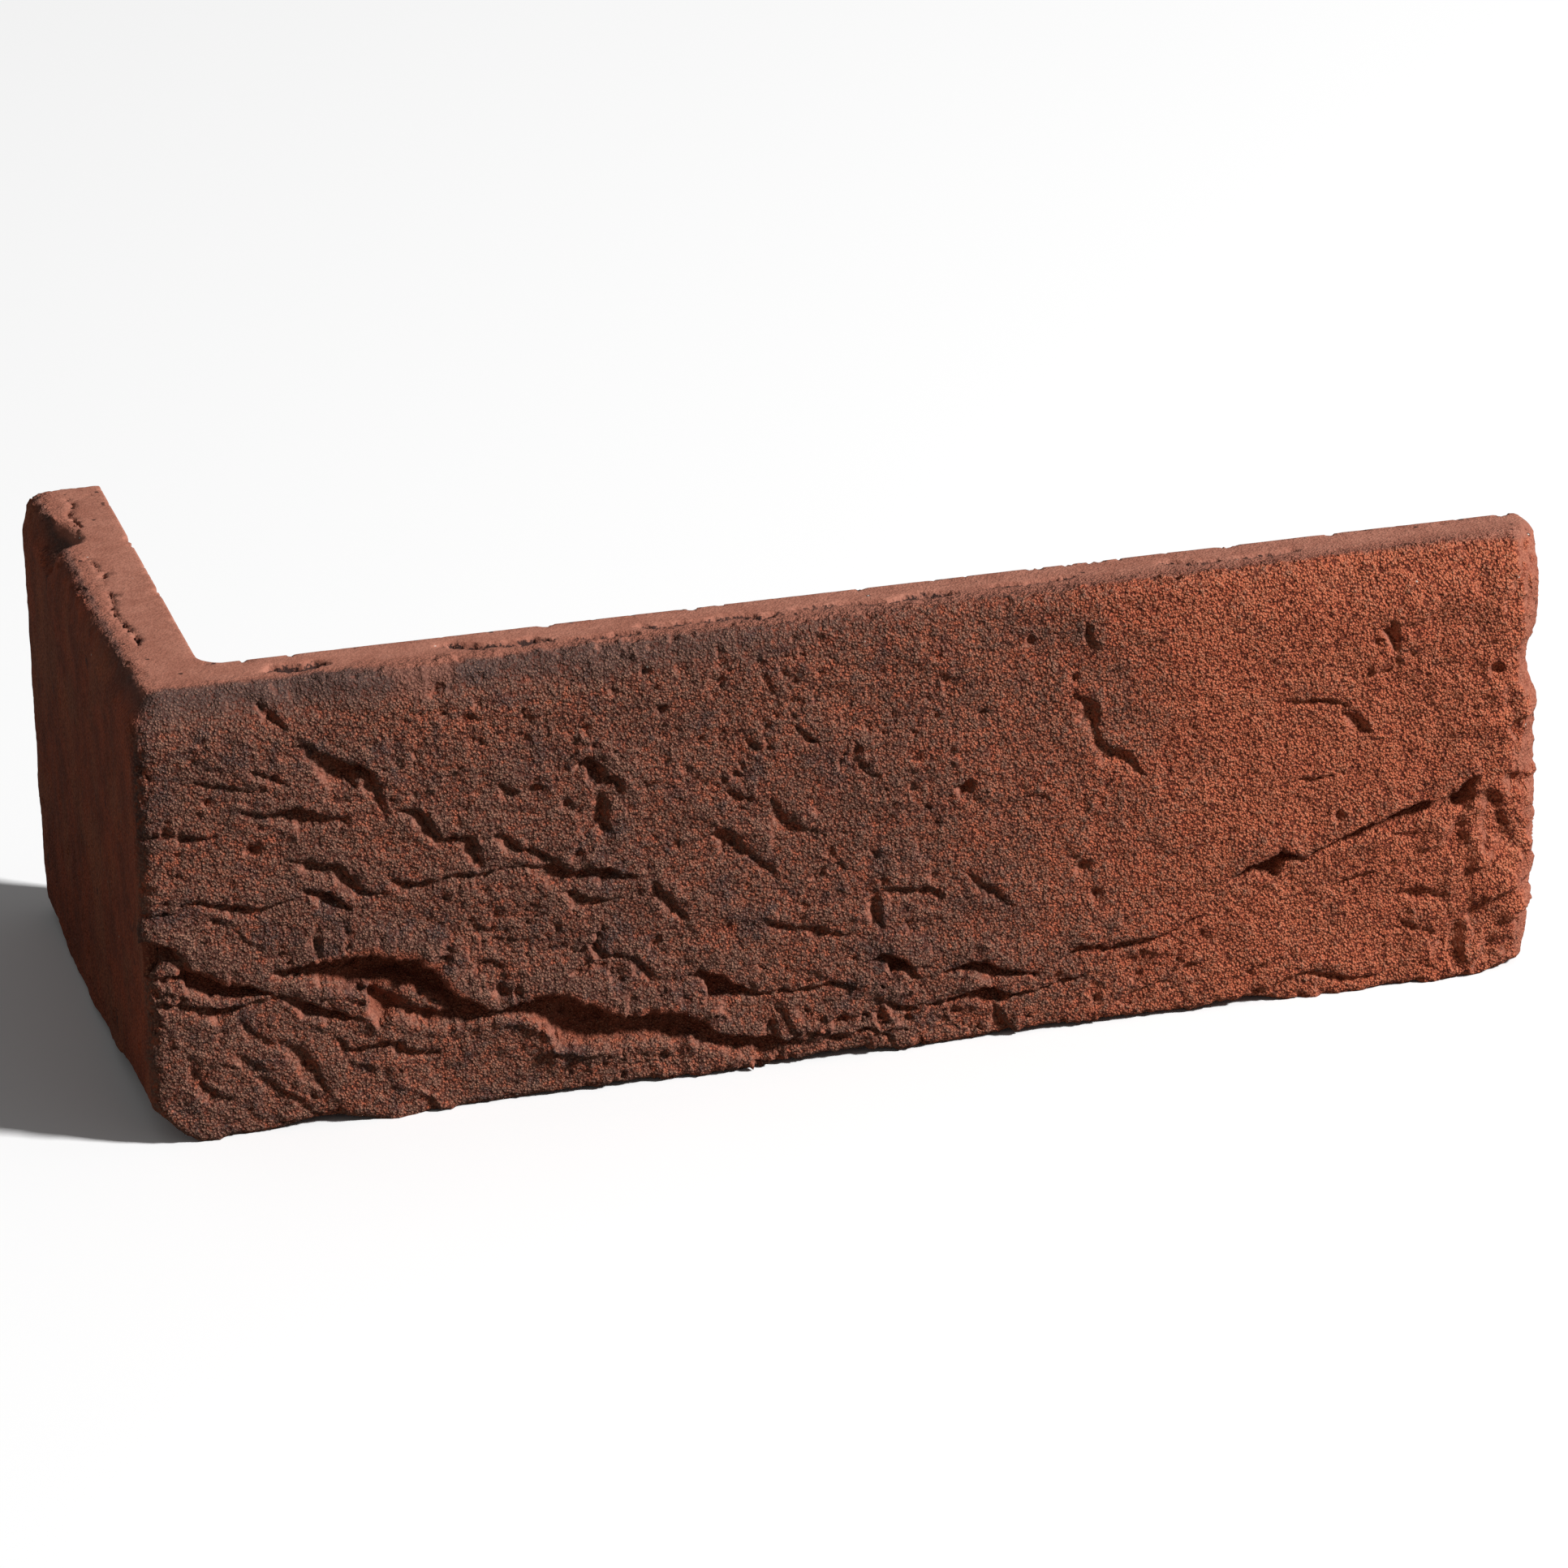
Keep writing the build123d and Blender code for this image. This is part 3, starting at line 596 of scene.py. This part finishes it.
def wearEdges(piece):  # lifts, crests, chips and hollow ends
    pen, shape, place = newRelief("edgeWear")
    side, back, z = fromCorner(place)
    drop = slipHeight - z
    along = side / longLeg
    deep = back / shortLeg
    up = z / slipHeight

    def line(share, name):
        return share.follow(edges[name + "Line"]) * edges[name]
    lift = line(along, "faceLift") * z.fade(edges["faceLiftReach"]) * back.fade(edges["faceLiftReach"])
    returnLift = line(deep, "returnLift") * z.fade(edges["returnLiftReach"]) * side.fade(edges["returnLiftSide"])
    setBack = line(along, "crest") * drop.fade(edges["crestReach"]) * back.fade(edges["crestBack"])
    shortEnd = line(up, "shortEnd") * (shortLeg - back).fade(edges["shortEndReach"])
    crumbled = (place.noise(*edges["crumbs"]) - 0.5) * edges["crumbHeight"] * drop.fade(edges["crumbReach"])
    chip = line(deep, "chip") * drop.smooth(*edges["chipDrop"]) + crumbled * back.smooth(*edges["crumbsFrom"])
    longEnd = (line(up, "longEnd") - edges["longEndBulge"]) * (longLeg - side).fade(edges["longEndReach"])
    move = pen.node("ShaderNodeCombineXYZ", None, {
        0: chip * side.fade(edges["chipReach"]) - longEnd, 1: setBack - shortEnd, 2: lift.atLeast(returnLift)})
    shape = pen.node("GeometryNodeSetPosition", None, {"Geometry": shape, "Offset": move * mm})
    workRelief(piece, pen, shape)


def sampled(pen, guide, spot):  # what the nearest point of a guide says at each point of the slip
    source = pen.node("GeometryNodeObjectInfo", {"transform_space": "ORIGINAL"}, {"Object": guide}).other("Geometry")
    index = pen.node("GeometryNodeSampleNearest", {"domain": "POINT"}, {"Geometry": source, "Sample Position": spot})

    def ask(kind, value):
        return pen.node("GeometryNodeSampleIndex", {"data_type": kind, "domain": "POINT"},
                        {"Geometry": source, "Value": value, "Index": index})

    def carried(kind, name):
        return ask(kind, pen.node("GeometryNodeInputNamedAttribute", {"data_type": kind}, {"Name": name}))
    at = ask("FLOAT_VECTOR", pen.node("GeometryNodeInputPosition"))
    return at, carried("FLOAT_VECTOR", "side"), carried("FLOAT", "gape"), carried("FLOAT", "depth")


def foldField(pen, guide, spot, facing, soft):
    at, side, gape, depth = sampled(pen, guide, spot)
    way = (spot - at) * inFace
    distance = way.length()
    opened = depth.smooth(fold["shallow"], fold["cleft"])
    wall = (gape * fold["wallShare"]).atMost(fold["wall"] + (1 - opened) * fold["plainWall"])
    wall = wall + soft * fold["softWall"]
    under = way.dot(side).smooth(fold["wallStart"], wall)
    floor = 1 - ((distance / gape).atMost(1.0) ** (fold["floorPower"] + opened * fold["cleftPower"]))
    recess = depth * under * floor * facing
    above = (1 - under) * depth * facing
    roll = above * distance.fade(fold["rollReach"]) * fold["roll"]
    below = (distance - gape).atLeast(0.0).fade(fold["bellyReach"])
    belly = depth * under * facing * below * fold["belly"]
    heavy = (depth - fold["hangFrom"]) / (fold["hangFull"] - fold["hangFrom"])
    heavy = heavy.atLeast(0.0).atMost(1.0)
    hang = side * (above * heavy * distance.fade(fold["hangReach"]) * fold["hang"])
    return recess, roll + belly, hang


def dentField(pen, guide, spot, flatten, facing):
    at, side, radius, depth = sampled(pen, guide, spot)
    share = ((spot - at) * flatten).length() / radius
    return depth * (1 - (share * share)).atLeast(0.0) * facing


# slight folds that come and go, millimetres
pleat = {
    "size": 6.5, "height": 1.5, "steep": 0.09, "runOut": 1.5,
    "lowest": 95, "sag": 0.0033,  # they sag toward this place along the face
    "wave": (14.0, 2.0, 0.5), "waveHeight": 3.2, "waveStretch": (0.6, 1, 1),
    "ripple": (4.0, 2.0, 0.5), "rippleHeight": 0.7,
    "patches": (11.0, 2.0, 0.5, 0.46, 0.66),
}


def pleats(place, side, z):  # steep below, running out above
    off = side - pleat["lowest"]
    level = (z - off * off * pleat["sag"]) / pleat["size"]
    wave = (place * pleat["waveStretch"]).noise(*pleat["wave"]) - 0.5
    ripple = place.noise(*pleat["ripple"]) - 0.5
    level = level + wave * pleat["waveHeight"] + ripple * pleat["rippleHeight"]
    rise = level.join("FRACT", level)
    step = rise.smooth(0.0, pleat["steep"]) * ((1 - rise) ** pleat["runOut"])
    return step * place.spots(*pleat["patches"]) * pleat["height"]


# from and to of the normal's share at which a point counts as facing that way
facings = {"front": (0.1, 0.5), "outer": (0.25, 0.7), "bed": (0.5, 0.85), "end": (0.3, 0.8), "inner": (0.2, 0.6)}

# where the slip changes, millimetres along, up or back
zones = {
    "longEnd": (30, 20), "shortEnd": (20, 10),  # short of the end
    "smoothLips": (115.0, 150.0),
    "rightEnd": (172.0, 192.0), "pillowTop": 50.0,  # soft folds and swellings
    "lowLeft": (110, 38.0), "foot": 17.0,  # the wildest part: along, up
    "faceStrip": 7.5, "returnStrip": 6.5,  # crumbly edge of the upper bed
    "rim": (6, 1), "rimAlong": (0.7, 0.2),  # worn smooth, short of the upper bed
}

# plain roughness: noise and height, then its share on each part of the slip
rough = {
    "lumps": ((13.0, 2.0, 0.5), 2.9),
    "torn": ((3.6, 4.0, 0.65), 1.5),
    "pillows": ((8.0, 1.0, 0.4), 4.4),
    "pimples": ((1.0, 3.0, 0.65), 0.95),
    "wildLowLeft": 0.7, "wildRightEnd": 0.75, "wildFoot": 0.6,
    "pleats": 0.35, "mostPleats": 1.1,
    "front": 0.46, "wildFront": 0.45,
    "outer": 0.22, "outerCorner": 0.5, "outerReach": 6.0,  # more of it near the corner
    "end": 0.4, "bed": 0.05, "strip": 0.35,
    "fineRim": 0.6, "fineOuter": 0.25, "fineEnd": 0.6, "fineBed": 0.1, "fineStrip": 0.7,  # of the pimples
}

# broken ground: knobs and holes that come in patches, along folds and at the foot
stones = {
    "knobs": (3.2, 3.0, 0.62, 0.54, 0.66), "knobShift": (31, 17, 53), "knobHeight": 0.4,
    "holes": (2.1, 3.0, 0.62, 0.56, 0.68), "holeDepth": 0.6,
    "least": 0.25, "leastRight": 0.45, "fades": (190.0, 100.0),
    "patches": (15.0, 2.0, 0.5, 0.42, 0.6), "patch": 0.55,
    "lip": 1.2, "floor": 0.4, "mostByFolds": 0.3,
    "foot": 0.7, "footHeight": 15.0, "footAlong": (55.0, 85.0),
    "strip": 1.3, "end": 0.3,
}

# the upper bed's crumbs, broken back edge and pores
crust = {
    "crumbs": (1.3, 3.0, 0.65, 0.5, 0.62), "faceCrumbs": 0.4, "returnCrumbs": 0.18,
    "breaks": (3.2, 4.0, 0.7, 0.54, 0.66), "breakDepth": 0.6, "breakReach": 1.5, "breakDrop": (1.6, 0.4),
    "pores": 3.1, "poreLuck": 0.6,  # spacing, and the luck below which there is none
    "poreSize": 0.55, "poreDepth": 2.4, "endPores": 0.6,
}

# masks of the colours: lines along the face for the edge of the pink bed, for its run over the arris and for the soot
tints = {
    "patch": (3.5, 3.0, 0.6), "cloud": (24.0, 2.0, 0.5),
    "arris": [(0, 0.9), (0.1, 0.85), (0.17, 0.75), (0.19, 0.4), (0.225, 0.4), (0.24, 0.6), (0.36, 0.5), (0.5, 0.42),
              (0.58, 0.5), (0.65, 0.4), (0.72, 0.5), (0.8, 0.6), (1, 0.8)],
    "arrisReach": 4.5, "arrisRagged": 1.8, "arrisEdge": (-0.3, 0.5), "returnReach": 1.5, "bedDrop": (2.4, 1.2),
    "spill": [(0, 0), (0.15, 0), (0.195, 0.8), (0.21, 0.7), (0.25, 0), (1, 0)],
    "spillReach": 3.0, "spillRagged": 5, "spillCover": 0.45,
    "soot": [(0, 0.84), (0.1, 0.78), (0.3, 0.74), (0.5, 0.7), (0.62, 0.55), (0.72, 0.3), (0.8, 0.1), (1, 0.02)],
    "sootCloud": 0.5, "sootPatch": 0.8, "sootRim": 0.45, "sootLip": 0.35, "sootFloor": 0.15, "sootKnobs": 0.25,
    "blotches": (5.0, 5.0, 0.75, 0.55, 0.61), "blotchAlong": (0.8, 0.45), "blotchRim": 1.6,
    "hollowHoles": 0.4,
    "calmBed": 0.75, "calmInner": 0.6, "calmOuter": 0.5,  # how much less grain these parts show
}


def nearing(value, stop, short):  # 0 and 1 at two distances short of the stop
    return value.smooth(stop - short[0], stop - short[1])


def tearFace(piece):
    pen, shape, place = newRelief("tornFace")
    normal = pen.node("GeometryNodeInputNormal")
    side, back, z = fromCorner(place)
    along = side / longLeg
    nx, ny, nz = normal.parts()
    front = (ny * -1).smooth(*facings["front"])
    outer = (nx * -1).smooth(*facings["outer"])
    bed = nz.smooth(*facings["bed"])
    inner = ny.smooth(*facings["inner"]).atLeast(nx.smooth(*facings["inner"]))
    end = nx.smooth(*facings["end"]) * nearing(side, longLeg, zones["longEnd"])
    end = end.atLeast(ny.smooth(*facings["end"]) * nearing(back, shortLeg, zones["shortEnd"]))
    rightEnd = side.smooth(*zones["rightEnd"])
    strip = back.fade(zones["faceStrip"]).atLeast(side.fade(zones["returnStrip"]))
    rimBand = nearing(z, slipHeight, zones["rim"]) * along.smooth(*zones["rimAlong"])

    # folds, cracks, dents and ledges
    wander = (place.noise(*fold["wander"], 1) - noiseMiddle) * fold["ragged"]
    spot = place + wander * (1 - (side.smooth(*zones["smoothLips"]) * fold["smoothing"]))
    recess = bed * 0.0
    raised = bed * 0.0
    hang = normal * 0.0
    for number, layer in enumerate(inLayers(folds)):
        guide = lineGuide(f"foldGuide{number}", layer)
        deeper, roll, over = foldField(pen, guide, spot, front, rightEnd)
        recess = recess.atLeast(deeper)
        raised = raised.atLeast(roll)
        hang = hang + over
    shaken = place + (place.noise(*cracks["wander"], 1) - noiseMiddle) * cracks["ragged"]
    whole = place.spots(*cracks["breaks"]) * (1 - cracks["least"]) + cracks["least"]
    whole = whole.atLeast(side.smooth(*cracks["longLegFrom"]) * cracks["longLegLeast"])
    crack = dentField(pen, crackGuide(), shaken, inBed, bed) * whole
    recess = recess + crack + dentField(pen, dentGuide(), spot, inFace, front)
    recess = recess - dentField(pen, lineGuide("ledgeGuide", ledges), spot, inFace, front)

    # roughness
    def bumps(name):
        noise, height = rough[name]
        return (place.noise(*noise) - 0.5) * height
    lowLeft = (1 - (side / zones["lowLeft"][0]).atMost(1.0)) * z.fade(zones["lowLeft"][1])
    wild = lowLeft * rough["wildLowLeft"] + rightEnd * rough["wildRightEnd"]
    wild = wild + z.fade(zones["foot"]) * rough["wildFoot"]
    torn = bumps("torn") + pleats(place, side, z) * (rough["pleats"] + wild).atMost(rough["mostPleats"])
    share = front * (rough["front"] + wild * rough["wildFront"])
    share = share.atLeast(outer * (rough["outer"] + back.fade(rough["outerReach"]) * rough["outerCorner"]))
    share = share.atLeast(end * rough["end"]).atLeast(bed * (rough["bed"] + strip * rough["strip"]))
    pillows = bumps("pillows") * rightEnd * z.fade(zones["pillowTop"])
    fine = (front * (1 - (rimBand * rough["fineRim"]))).atLeast(outer * rough["fineOuter"])
    fine = fine.atLeast(end * rough["fineEnd"])
    fine = fine.atLeast(bed * (rough["fineBed"] + strip * rough["fineStrip"]))

    # rubble
    byFolds = (raised * stones["lip"] + recess * stones["floor"]).atMost(stones["mostByFolds"])
    atFoot = z.fade(stones["footHeight"]) * side.smooth(*stones["footAlong"]) * stones["foot"]
    rubble = stones["least"] + place.spots(*stones["patches"]) * stones["patch"] + byFolds + atFoot
    rubble = rubble * side.smooth(*stones["fades"]).atLeast(stones["leastRight"])
    knobs = (place + stones["knobShift"]).spots(*stones["knobs"])
    holes = place.spots(*stones["holes"])
    broken = knobs * stones["knobHeight"] - holes * stones["holeDepth"]
    broken = broken * (front * rubble).atLeast(bed * strip * stones["strip"]).atLeast(end * stones["end"])

    # upper bed
    crumbly = (back.fade(zones["faceStrip"]) * crust["faceCrumbs"]).atLeast(
        side.fade(zones["returnStrip"]) * crust["returnCrumbs"])
    crumbs = (place.spots(*crust["crumbs"]) - 0.5) * bed * crumbly
    fromBack = block["thickness"] - back.atMost(side)
    nibble = place.spots(*crust["breaks"]) * fromBack.fade(crust["breakReach"])
    nibble = nibble * nearing(z, slipHeight, crust["breakDrop"])
    pores = place.cells(crust["pores"])
    poreSize = (pores.other(1).parts()[0] - crust["poreLuck"]).atLeast(0.0) * crust["poreSize"]
    pore = (1 - (pores / (poreSize + 0.01)).atMost(1.0)) * (poreSize * crust["poreDepth"])
    pore = pore * bed.atLeast(end * crust["endPores"])

    height = raised - recess - pore - nibble * crust["breakDepth"] + (bumps("lumps") + torn) * share
    height = height + pillows * front + bumps("pimples") * fine + broken + crumbs
    move = normal * height + hang

    def keep(values):
        nonlocal shape
        for name, value in values.items():
            shape = pen.node("GeometryNodeStoreNamedAttribute", {"data_type": "FLOAT", "domain": "POINT"},
                             {"Geometry": shape, "Name": name, "Value": value})

    # masks of the upper bed and its cracks, read off before the face is moved
    patch = place.noise(*tints["patch"]) - 0.5
    fromArris = back.atMost(side + tints["returnReach"]) - along.follow(tints["arris"]) * tints["arrisReach"]
    fromArris = fromArris + patch * tints["arrisRagged"]
    spill = along.follow(tints["spill"]) * (tints["spillReach"] + patch * tints["spillRagged"])

    def pink(over):
        return nearing(z + over, slipHeight, tints["bedDrop"]) * (fromArris + over).smooth(*tints["arrisEdge"])
    upperBed = pink(0.0).atLeast(pink(spill) * tints["spillCover"])
    keep({"crack": crack + pore, "upperBed": upperBed})
    shape = pen.node("GeometryNodeSetPosition", None, {"Geometry": shape, "Offset": move * mm})

    # and the rest after it
    rim = rimBand * tints["sootRim"]
    cloud = place.noise(*tints["cloud"]) - 0.5
    soot = along.follow(tints["soot"]) + cloud * tints["sootCloud"] + patch * tints["sootPatch"] + rim
    soot = soot + raised * tints["sootLip"] - recess * tints["sootFloor"]
    soot = soot + (knobs - holes) * rubble * tints["sootKnobs"]
    blotch = place.spots(*tints["blotches"]) * along.smooth(*tints["blotchAlong"])
    calm = (1 - (upperBed * (1 - strip) * tints["calmBed"])) * (1 - (inner * tints["calmInner"]))
    calm = calm * (1 - (outer * tints["calmOuter"])) * (1 - rim)
    keep({"hollow": recess + pore + holes * rubble * tints["hollowHoles"], "strip": strip, "soot": soot,
          "blotch": blotch.atLeast(rim * tints["blotchRim"]), "patch": patch + 0.5, "inner": inner, "calm": calm})
    workRelief(piece, pen, shape)


print("casting the block")
slip = castBlock()
print("block", len(slip.data.polygons), "faces")
wearEdges(slip)
tearFace(slip)
for guide in guides:
    bpy.data.objects.remove(guide)
print("relief worked in", len(guides), "layers")

meshLimit = 190000  # triangles kept
thin = slip.modifiers.new("thin", "DECIMATE")
thin.ratio = min(1.0, meshLimit / (2 * len(slip.data.polygons)))
applyModifier(slip, "thin")
bpy.ops.object.shade_smooth()
print("thinned to", len(slip.data.polygons), "triangles")

# colours and grain of the concrete, in millimetres
concrete = {
    "orange": tone(179, 88, 57),
    "paleOrange": tone(204, 114, 78),
    "redBrown": tone(134, 64, 42),
    # painted shade between the sand grains, plain and where sooty
    "creviceShade": tone(96, 36, 19),
    "sootyCreviceShade": tone(72, 34, 23),
    "freshAndBounce": tone(124, 64, 44),  # inside the folds: fresh unsooted concrete, lightened as painted bounce light in their shade
    "soot": tone(92, 70, 60),
    "darkSoot": tone(62, 54, 54),
    "smear": tone(46, 42, 46),
    "bedPink": tone(148, 92, 74),
    "bedPale": tone(168, 111, 92),
    # painted shade in the pits and pores of the upper bed, and in its cracks
    "bedPitShade": tone(70, 39, 30),
    "bedCrackShade": tone(50, 27, 21),
    "outer": tone(174, 83, 50),
    "outerDark": tone(134, 66, 43),
    "outerHaze": tone(168, 104, 72),
    "speck": tone(190, 180, 170),
    # painted highlight on the grain tops
    "grainHighlightTone": tone(195, 134, 106),
    "grain": 0.36, "grainHeight": 0.34,  # across one sand grain
    "grit": (0.82, 3.0, 0.65), "gritHeight": 1.1,  # the coarser lumps of them
    # the grains' heights, and where they take painted shade in the crevices and a painted highlight on the tops
    "speckleGrain": 1.4, "speckleGrit": 0.8, "creviceShadeRange": (1.18, 0.8), "grainHighlightRange": (1.28, 1.56),
    "sootGrit": 2.6, "sootInCrevice": 0.3,
    "cornerSide": 5.0, "cornerBack": 6.0, "cornerUp": (34.0, 52.0),  # dark smear on the outer corner
    "cornerGrit": 0.4, "cornerPatches": (0.58, 0.72),
    "outerSide": 3.0, "outerBack": (0.8, 3.0),  # the short leg's outer face
    "warmth": (9.0, 5.0, 0.7, 0.36, 0.64), "haze": (17.0, 3.0, 0.5, 0.46, 0.64),
    "streaks": (2.0, 4.0, 0.75, 0.5, 0.66), "streakStretch": (1, 1, 0.5),
    "marks": (5.0, 4.0, 0.7, 0.6, 0.7), "markStretch": (1, 1, 0.8),
    "dots": 2.6,  # spacing of the pores, painted dark as shade, and of the pale specks
    "pores": (0.16, 0.1), "poreLuck": (0.62, 0.66), "specks": (0.07, 0.05), "speckLuck": (0.9, 0.93),
    "crackGrit": 4.0, "crackNear": (0.0, 0.3),
    # how much painted shade the crevices take, and how much less of it deep in the folds
    "creviceShadeCover": 0.95, "inFold": (1.0, 2.6), "inFoldLess": 0.55,
    "roughness": 0.85, "shine": 0.3,
}


def weatheredConcrete():
    material = bpy.data.materials.new("weatheredConcrete")
    pen = blankNodes(material)
    look = concrete
    place = pen.node("ShaderNodeTexCoord").other("Object") * (1 / mm)
    side, back, z = fromCorner(place)

    def mask(name):
        return pen.node("ShaderNodeAttribute", {"attribute_name": name}).other("Fac")
    hollow, sooty, bed, inner = mask("hollow"), mask("soot"), mask("upperBed"), mask("inner")
    patch, blotch, calm, strip, crack = mask("patch"), mask("blotch"), mask("calm"), mask("strip"), mask("crack")

    # where the coats lie
    grain = 1 - place.cells(look["grain"])
    grit = place.noise(*look["grit"])
    speckle = grain * look["speckleGrain"] + grit * look["speckleGrit"]
    # painted shade in the crevices between grains, and a painted highlight on their tops
    creviceShade = speckle.smooth(*look["creviceShadeRange"])
    grainHighlight = speckle.smooth(*look["grainHighlightRange"])
    soot = (sooty + (grit - 0.5) * look["sootGrit"] - creviceShade * look["sootInCrevice"]).smooth(0.0, 1.0)
    smear = side.fade(look["cornerSide"]) * back.fade(look["cornerBack"]) * z.smooth(*look["cornerUp"])
    smear = smear * (patch + grit * look["cornerGrit"]).smooth(*look["cornerPatches"])
    outer = side.fade(look["outerSide"]) * back.smooth(*look["outerBack"])
    haze = place.spots(*look["haze"])
    streak = (place * look["streakStretch"]).spots(*look["streaks"])
    mark = (place * look["markStretch"]).spots(*look["marks"])
    dot = place.cells(look["dots"])
    dotLuck = dot.other(1).parts()
    # pores painted dark as shade, and pale specks
    pore = dot.smooth(*look["pores"]) * dotLuck[0].smooth(*look["poreLuck"])
    speck = dot.smooth(*look["specks"]) * dotLuck[1].smooth(*look["speckLuck"])
    # painted shade in the bed's cracks, made ragged by the grit
    shadedCrack = crack + (grit - 0.5) * crack.smooth(*look["crackNear"]) * look["crackGrit"]
    deepIn = look["creviceShadeCover"] - hollow.smooth(*look["inFold"]) * look["inFoldLess"]

    outerTone = place.spots(*look["warmth"]).mix(look["outerDark"], look["outer"])
    pale = patch * 0.6 + grit * 0.4 - strip * 0.35
    bedTone = pale.smooth(0.35, 0.65).mix(look["bedPink"], look["bedPale"])
    creviceShadeTone = sooty.smooth(0.1, 0.7).mix(look["creviceShade"], look["sootyCreviceShade"])
    warm = patch * 0.5 + grit * 0.5
    colour = warm.smooth(0.35, 0.65).mix(look["orange"], look["paleOrange"])
    coats = [  # place, cover and paint, laid over one another in this order
        (patch.smooth(0.55, 0.75), 0.5, look["redBrown"]),
        (soot, 0.92, look["soot"]),
        (blotch, 0.75, look["darkSoot"]),
        (smear, 0.65, look["smear"]),
        (outer, 0.9, outerTone),
        (haze * outer, 0.45, look["outerHaze"]),
        (streak * outer, 0.18, look["smear"]),
        (mark * outer, 0.7, look["smear"]),
        (bed.atLeast(inner * 0.8), 1.0, bedTone),
        # painted shade in the pits of the bed's crumbly strip and in its pores
        (grit.smooth(0.5, 0.64) * strip * bed, 0.6, look["bedPitShade"]),
        (pore * bed.atLeast(inner), 1.0, look["bedPitShade"]),
        # painted shade in the bed's cracks
        (shadedCrack.smooth(0.25, 0.8), 1.0, look["bedCrackShade"]),
        # fresh unsooted colour in the folds, lightened as painted bounce light in their shade
        (hollow.smooth(0.8, 2.4) * (1 - bed), 0.75, look["freshAndBounce"]),
        # painted shade in the crevices between grains
        (creviceShade * calm * deepIn, 1.0, creviceShadeTone),
        # painted highlight on the grain tops, none in the cracks
        (grainHighlight * calm * crack.smooth(0.4, 0.1), 0.5, look["grainHighlightTone"]),
        (speck, 1.0, look["speck"]),
    ]
    for where, cover, paint in coats:
        colour = (where * cover).mix(colour, paint)

    bump = grain * look["grainHeight"] + grit * look["gritHeight"]
    lit = pen.node("ShaderNodeBump", None, {"Strength": 1.0, "Distance": mm, "Height": bump * calm})
    shader = pen.node("ShaderNodeBsdfPrincipled", None, {
        "Base Color": colour, "Roughness": look["roughness"], "Specular IOR Level": look["shine"], "Normal": lit})
    pen.node("ShaderNodeOutputMaterial", None, {"Surface": shader})
    return material


slip.data.materials.clear()
slip.data.materials.append(weatheredConcrete())
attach(slip, "root")
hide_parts("corner_slip")
print("concrete laid on")

# plain floor and studio
studio = {
    "floorSize": 9.0,
    "floorColour": tone(246, 246, 246),
    "floorBounce": tone(128, 122, 116),  # what the floor sends back up, kept low so that the folds stay dark
    "keyFrom": Vector((0.70, -0.42, 0.58)),
    "keyDistance": 5.0,
    "keySize": 0.6,
    "keyPower": 405.0,
    "ambient": 0.17,
}


def layFloor():
    bpy.ops.object.select_all(action="DESELECT")
    bpy.ops.mesh.primitive_plane_add(size=studio["floorSize"], location=(0, 0, 0))
    floor = bpy.context.object
    floor.name = "paleFloor"
    material = bpy.data.materials.new("palePaper")
    pen = blankNodes(material)
    paper = pen.node("ShaderNodeBsdfDiffuse", None, {"Color": studio["floorColour"]})
    bounce = pen.node("ShaderNodeBsdfDiffuse", None, {"Color": studio["floorBounce"]})
    seen = pen.node("ShaderNodeLightPath")
    either = pen.node("ShaderNodeMixShader", None, {0: seen, 1: bounce, 2: paper})
    pen.node("ShaderNodeOutputMaterial", None, {"Surface": either})
    floor.data.materials.append(material)


def hangLights():
    middle = Vector((0, (faceY + innerY) / 2 * mm, slipHeight / 2 * mm))
    lamp = bpy.data.lights.new("keySoftbox", "AREA")
    lamp.size = studio["keySize"]
    lamp.energy = studio["keyPower"]
    key = setUp("keySoftbox", lamp)
    way = studio["keyFrom"].normalized()
    key.location = middle + way * studio["keyDistance"]
    key.rotation_euler = way.to_track_quat("Z", "Y").to_euler()
    world = bpy.data.worlds.new("studioAir")
    bpy.context.scene.world = world
    pen = blankNodes(world)
    seen = pen.node("ShaderNodeLightPath")
    strength = seen * (1 - studio["ambient"]) + studio["ambient"]
    air = pen.node("ShaderNodeBackground", None, {"Color": (1, 1, 1, 1), "Strength": strength})
    pen.node("ShaderNodeOutputWorld", None, {"Surface": air})


# the photograph's camera, as seen from the middle of the face
lens = {
    "azimuth": -14.16,
    "elevation": 21.15,
    "roll": -1.77,
    "distance": 1013.0,
    "right": -9.80,
    "up": 7.76,
    "focal": 167.8,
    "sensor": 36,
}


def setCamera():
    turn = (Matrix.Rotation(radians(lens["azimuth"]), 4, "Z")
            @ Matrix.Rotation(pi / 2 - radians(lens["elevation"]), 4, "X")
            @ Matrix.Rotation(radians(lens["roll"]), 4, "Z"))
    aim = Vector((0, faceY, slipHeight / 2)) * mm
    shift = turn @ Vector((lens["right"], lens["up"], lens["distance"])) * mm
    view = bpy.data.cameras.new("photoCamera")
    view.lens = lens["focal"]
    view.sensor_width = lens["sensor"]
    camera = setUp("photoCamera", view)
    camera.matrix_world = Matrix.Translation(aim + shift) @ turn
    bpy.context.scene.camera = camera


layFloor()
hangLights()
setCamera()
bpy.context.scene.view_settings.view_transform = "Standard"
print("studio set")
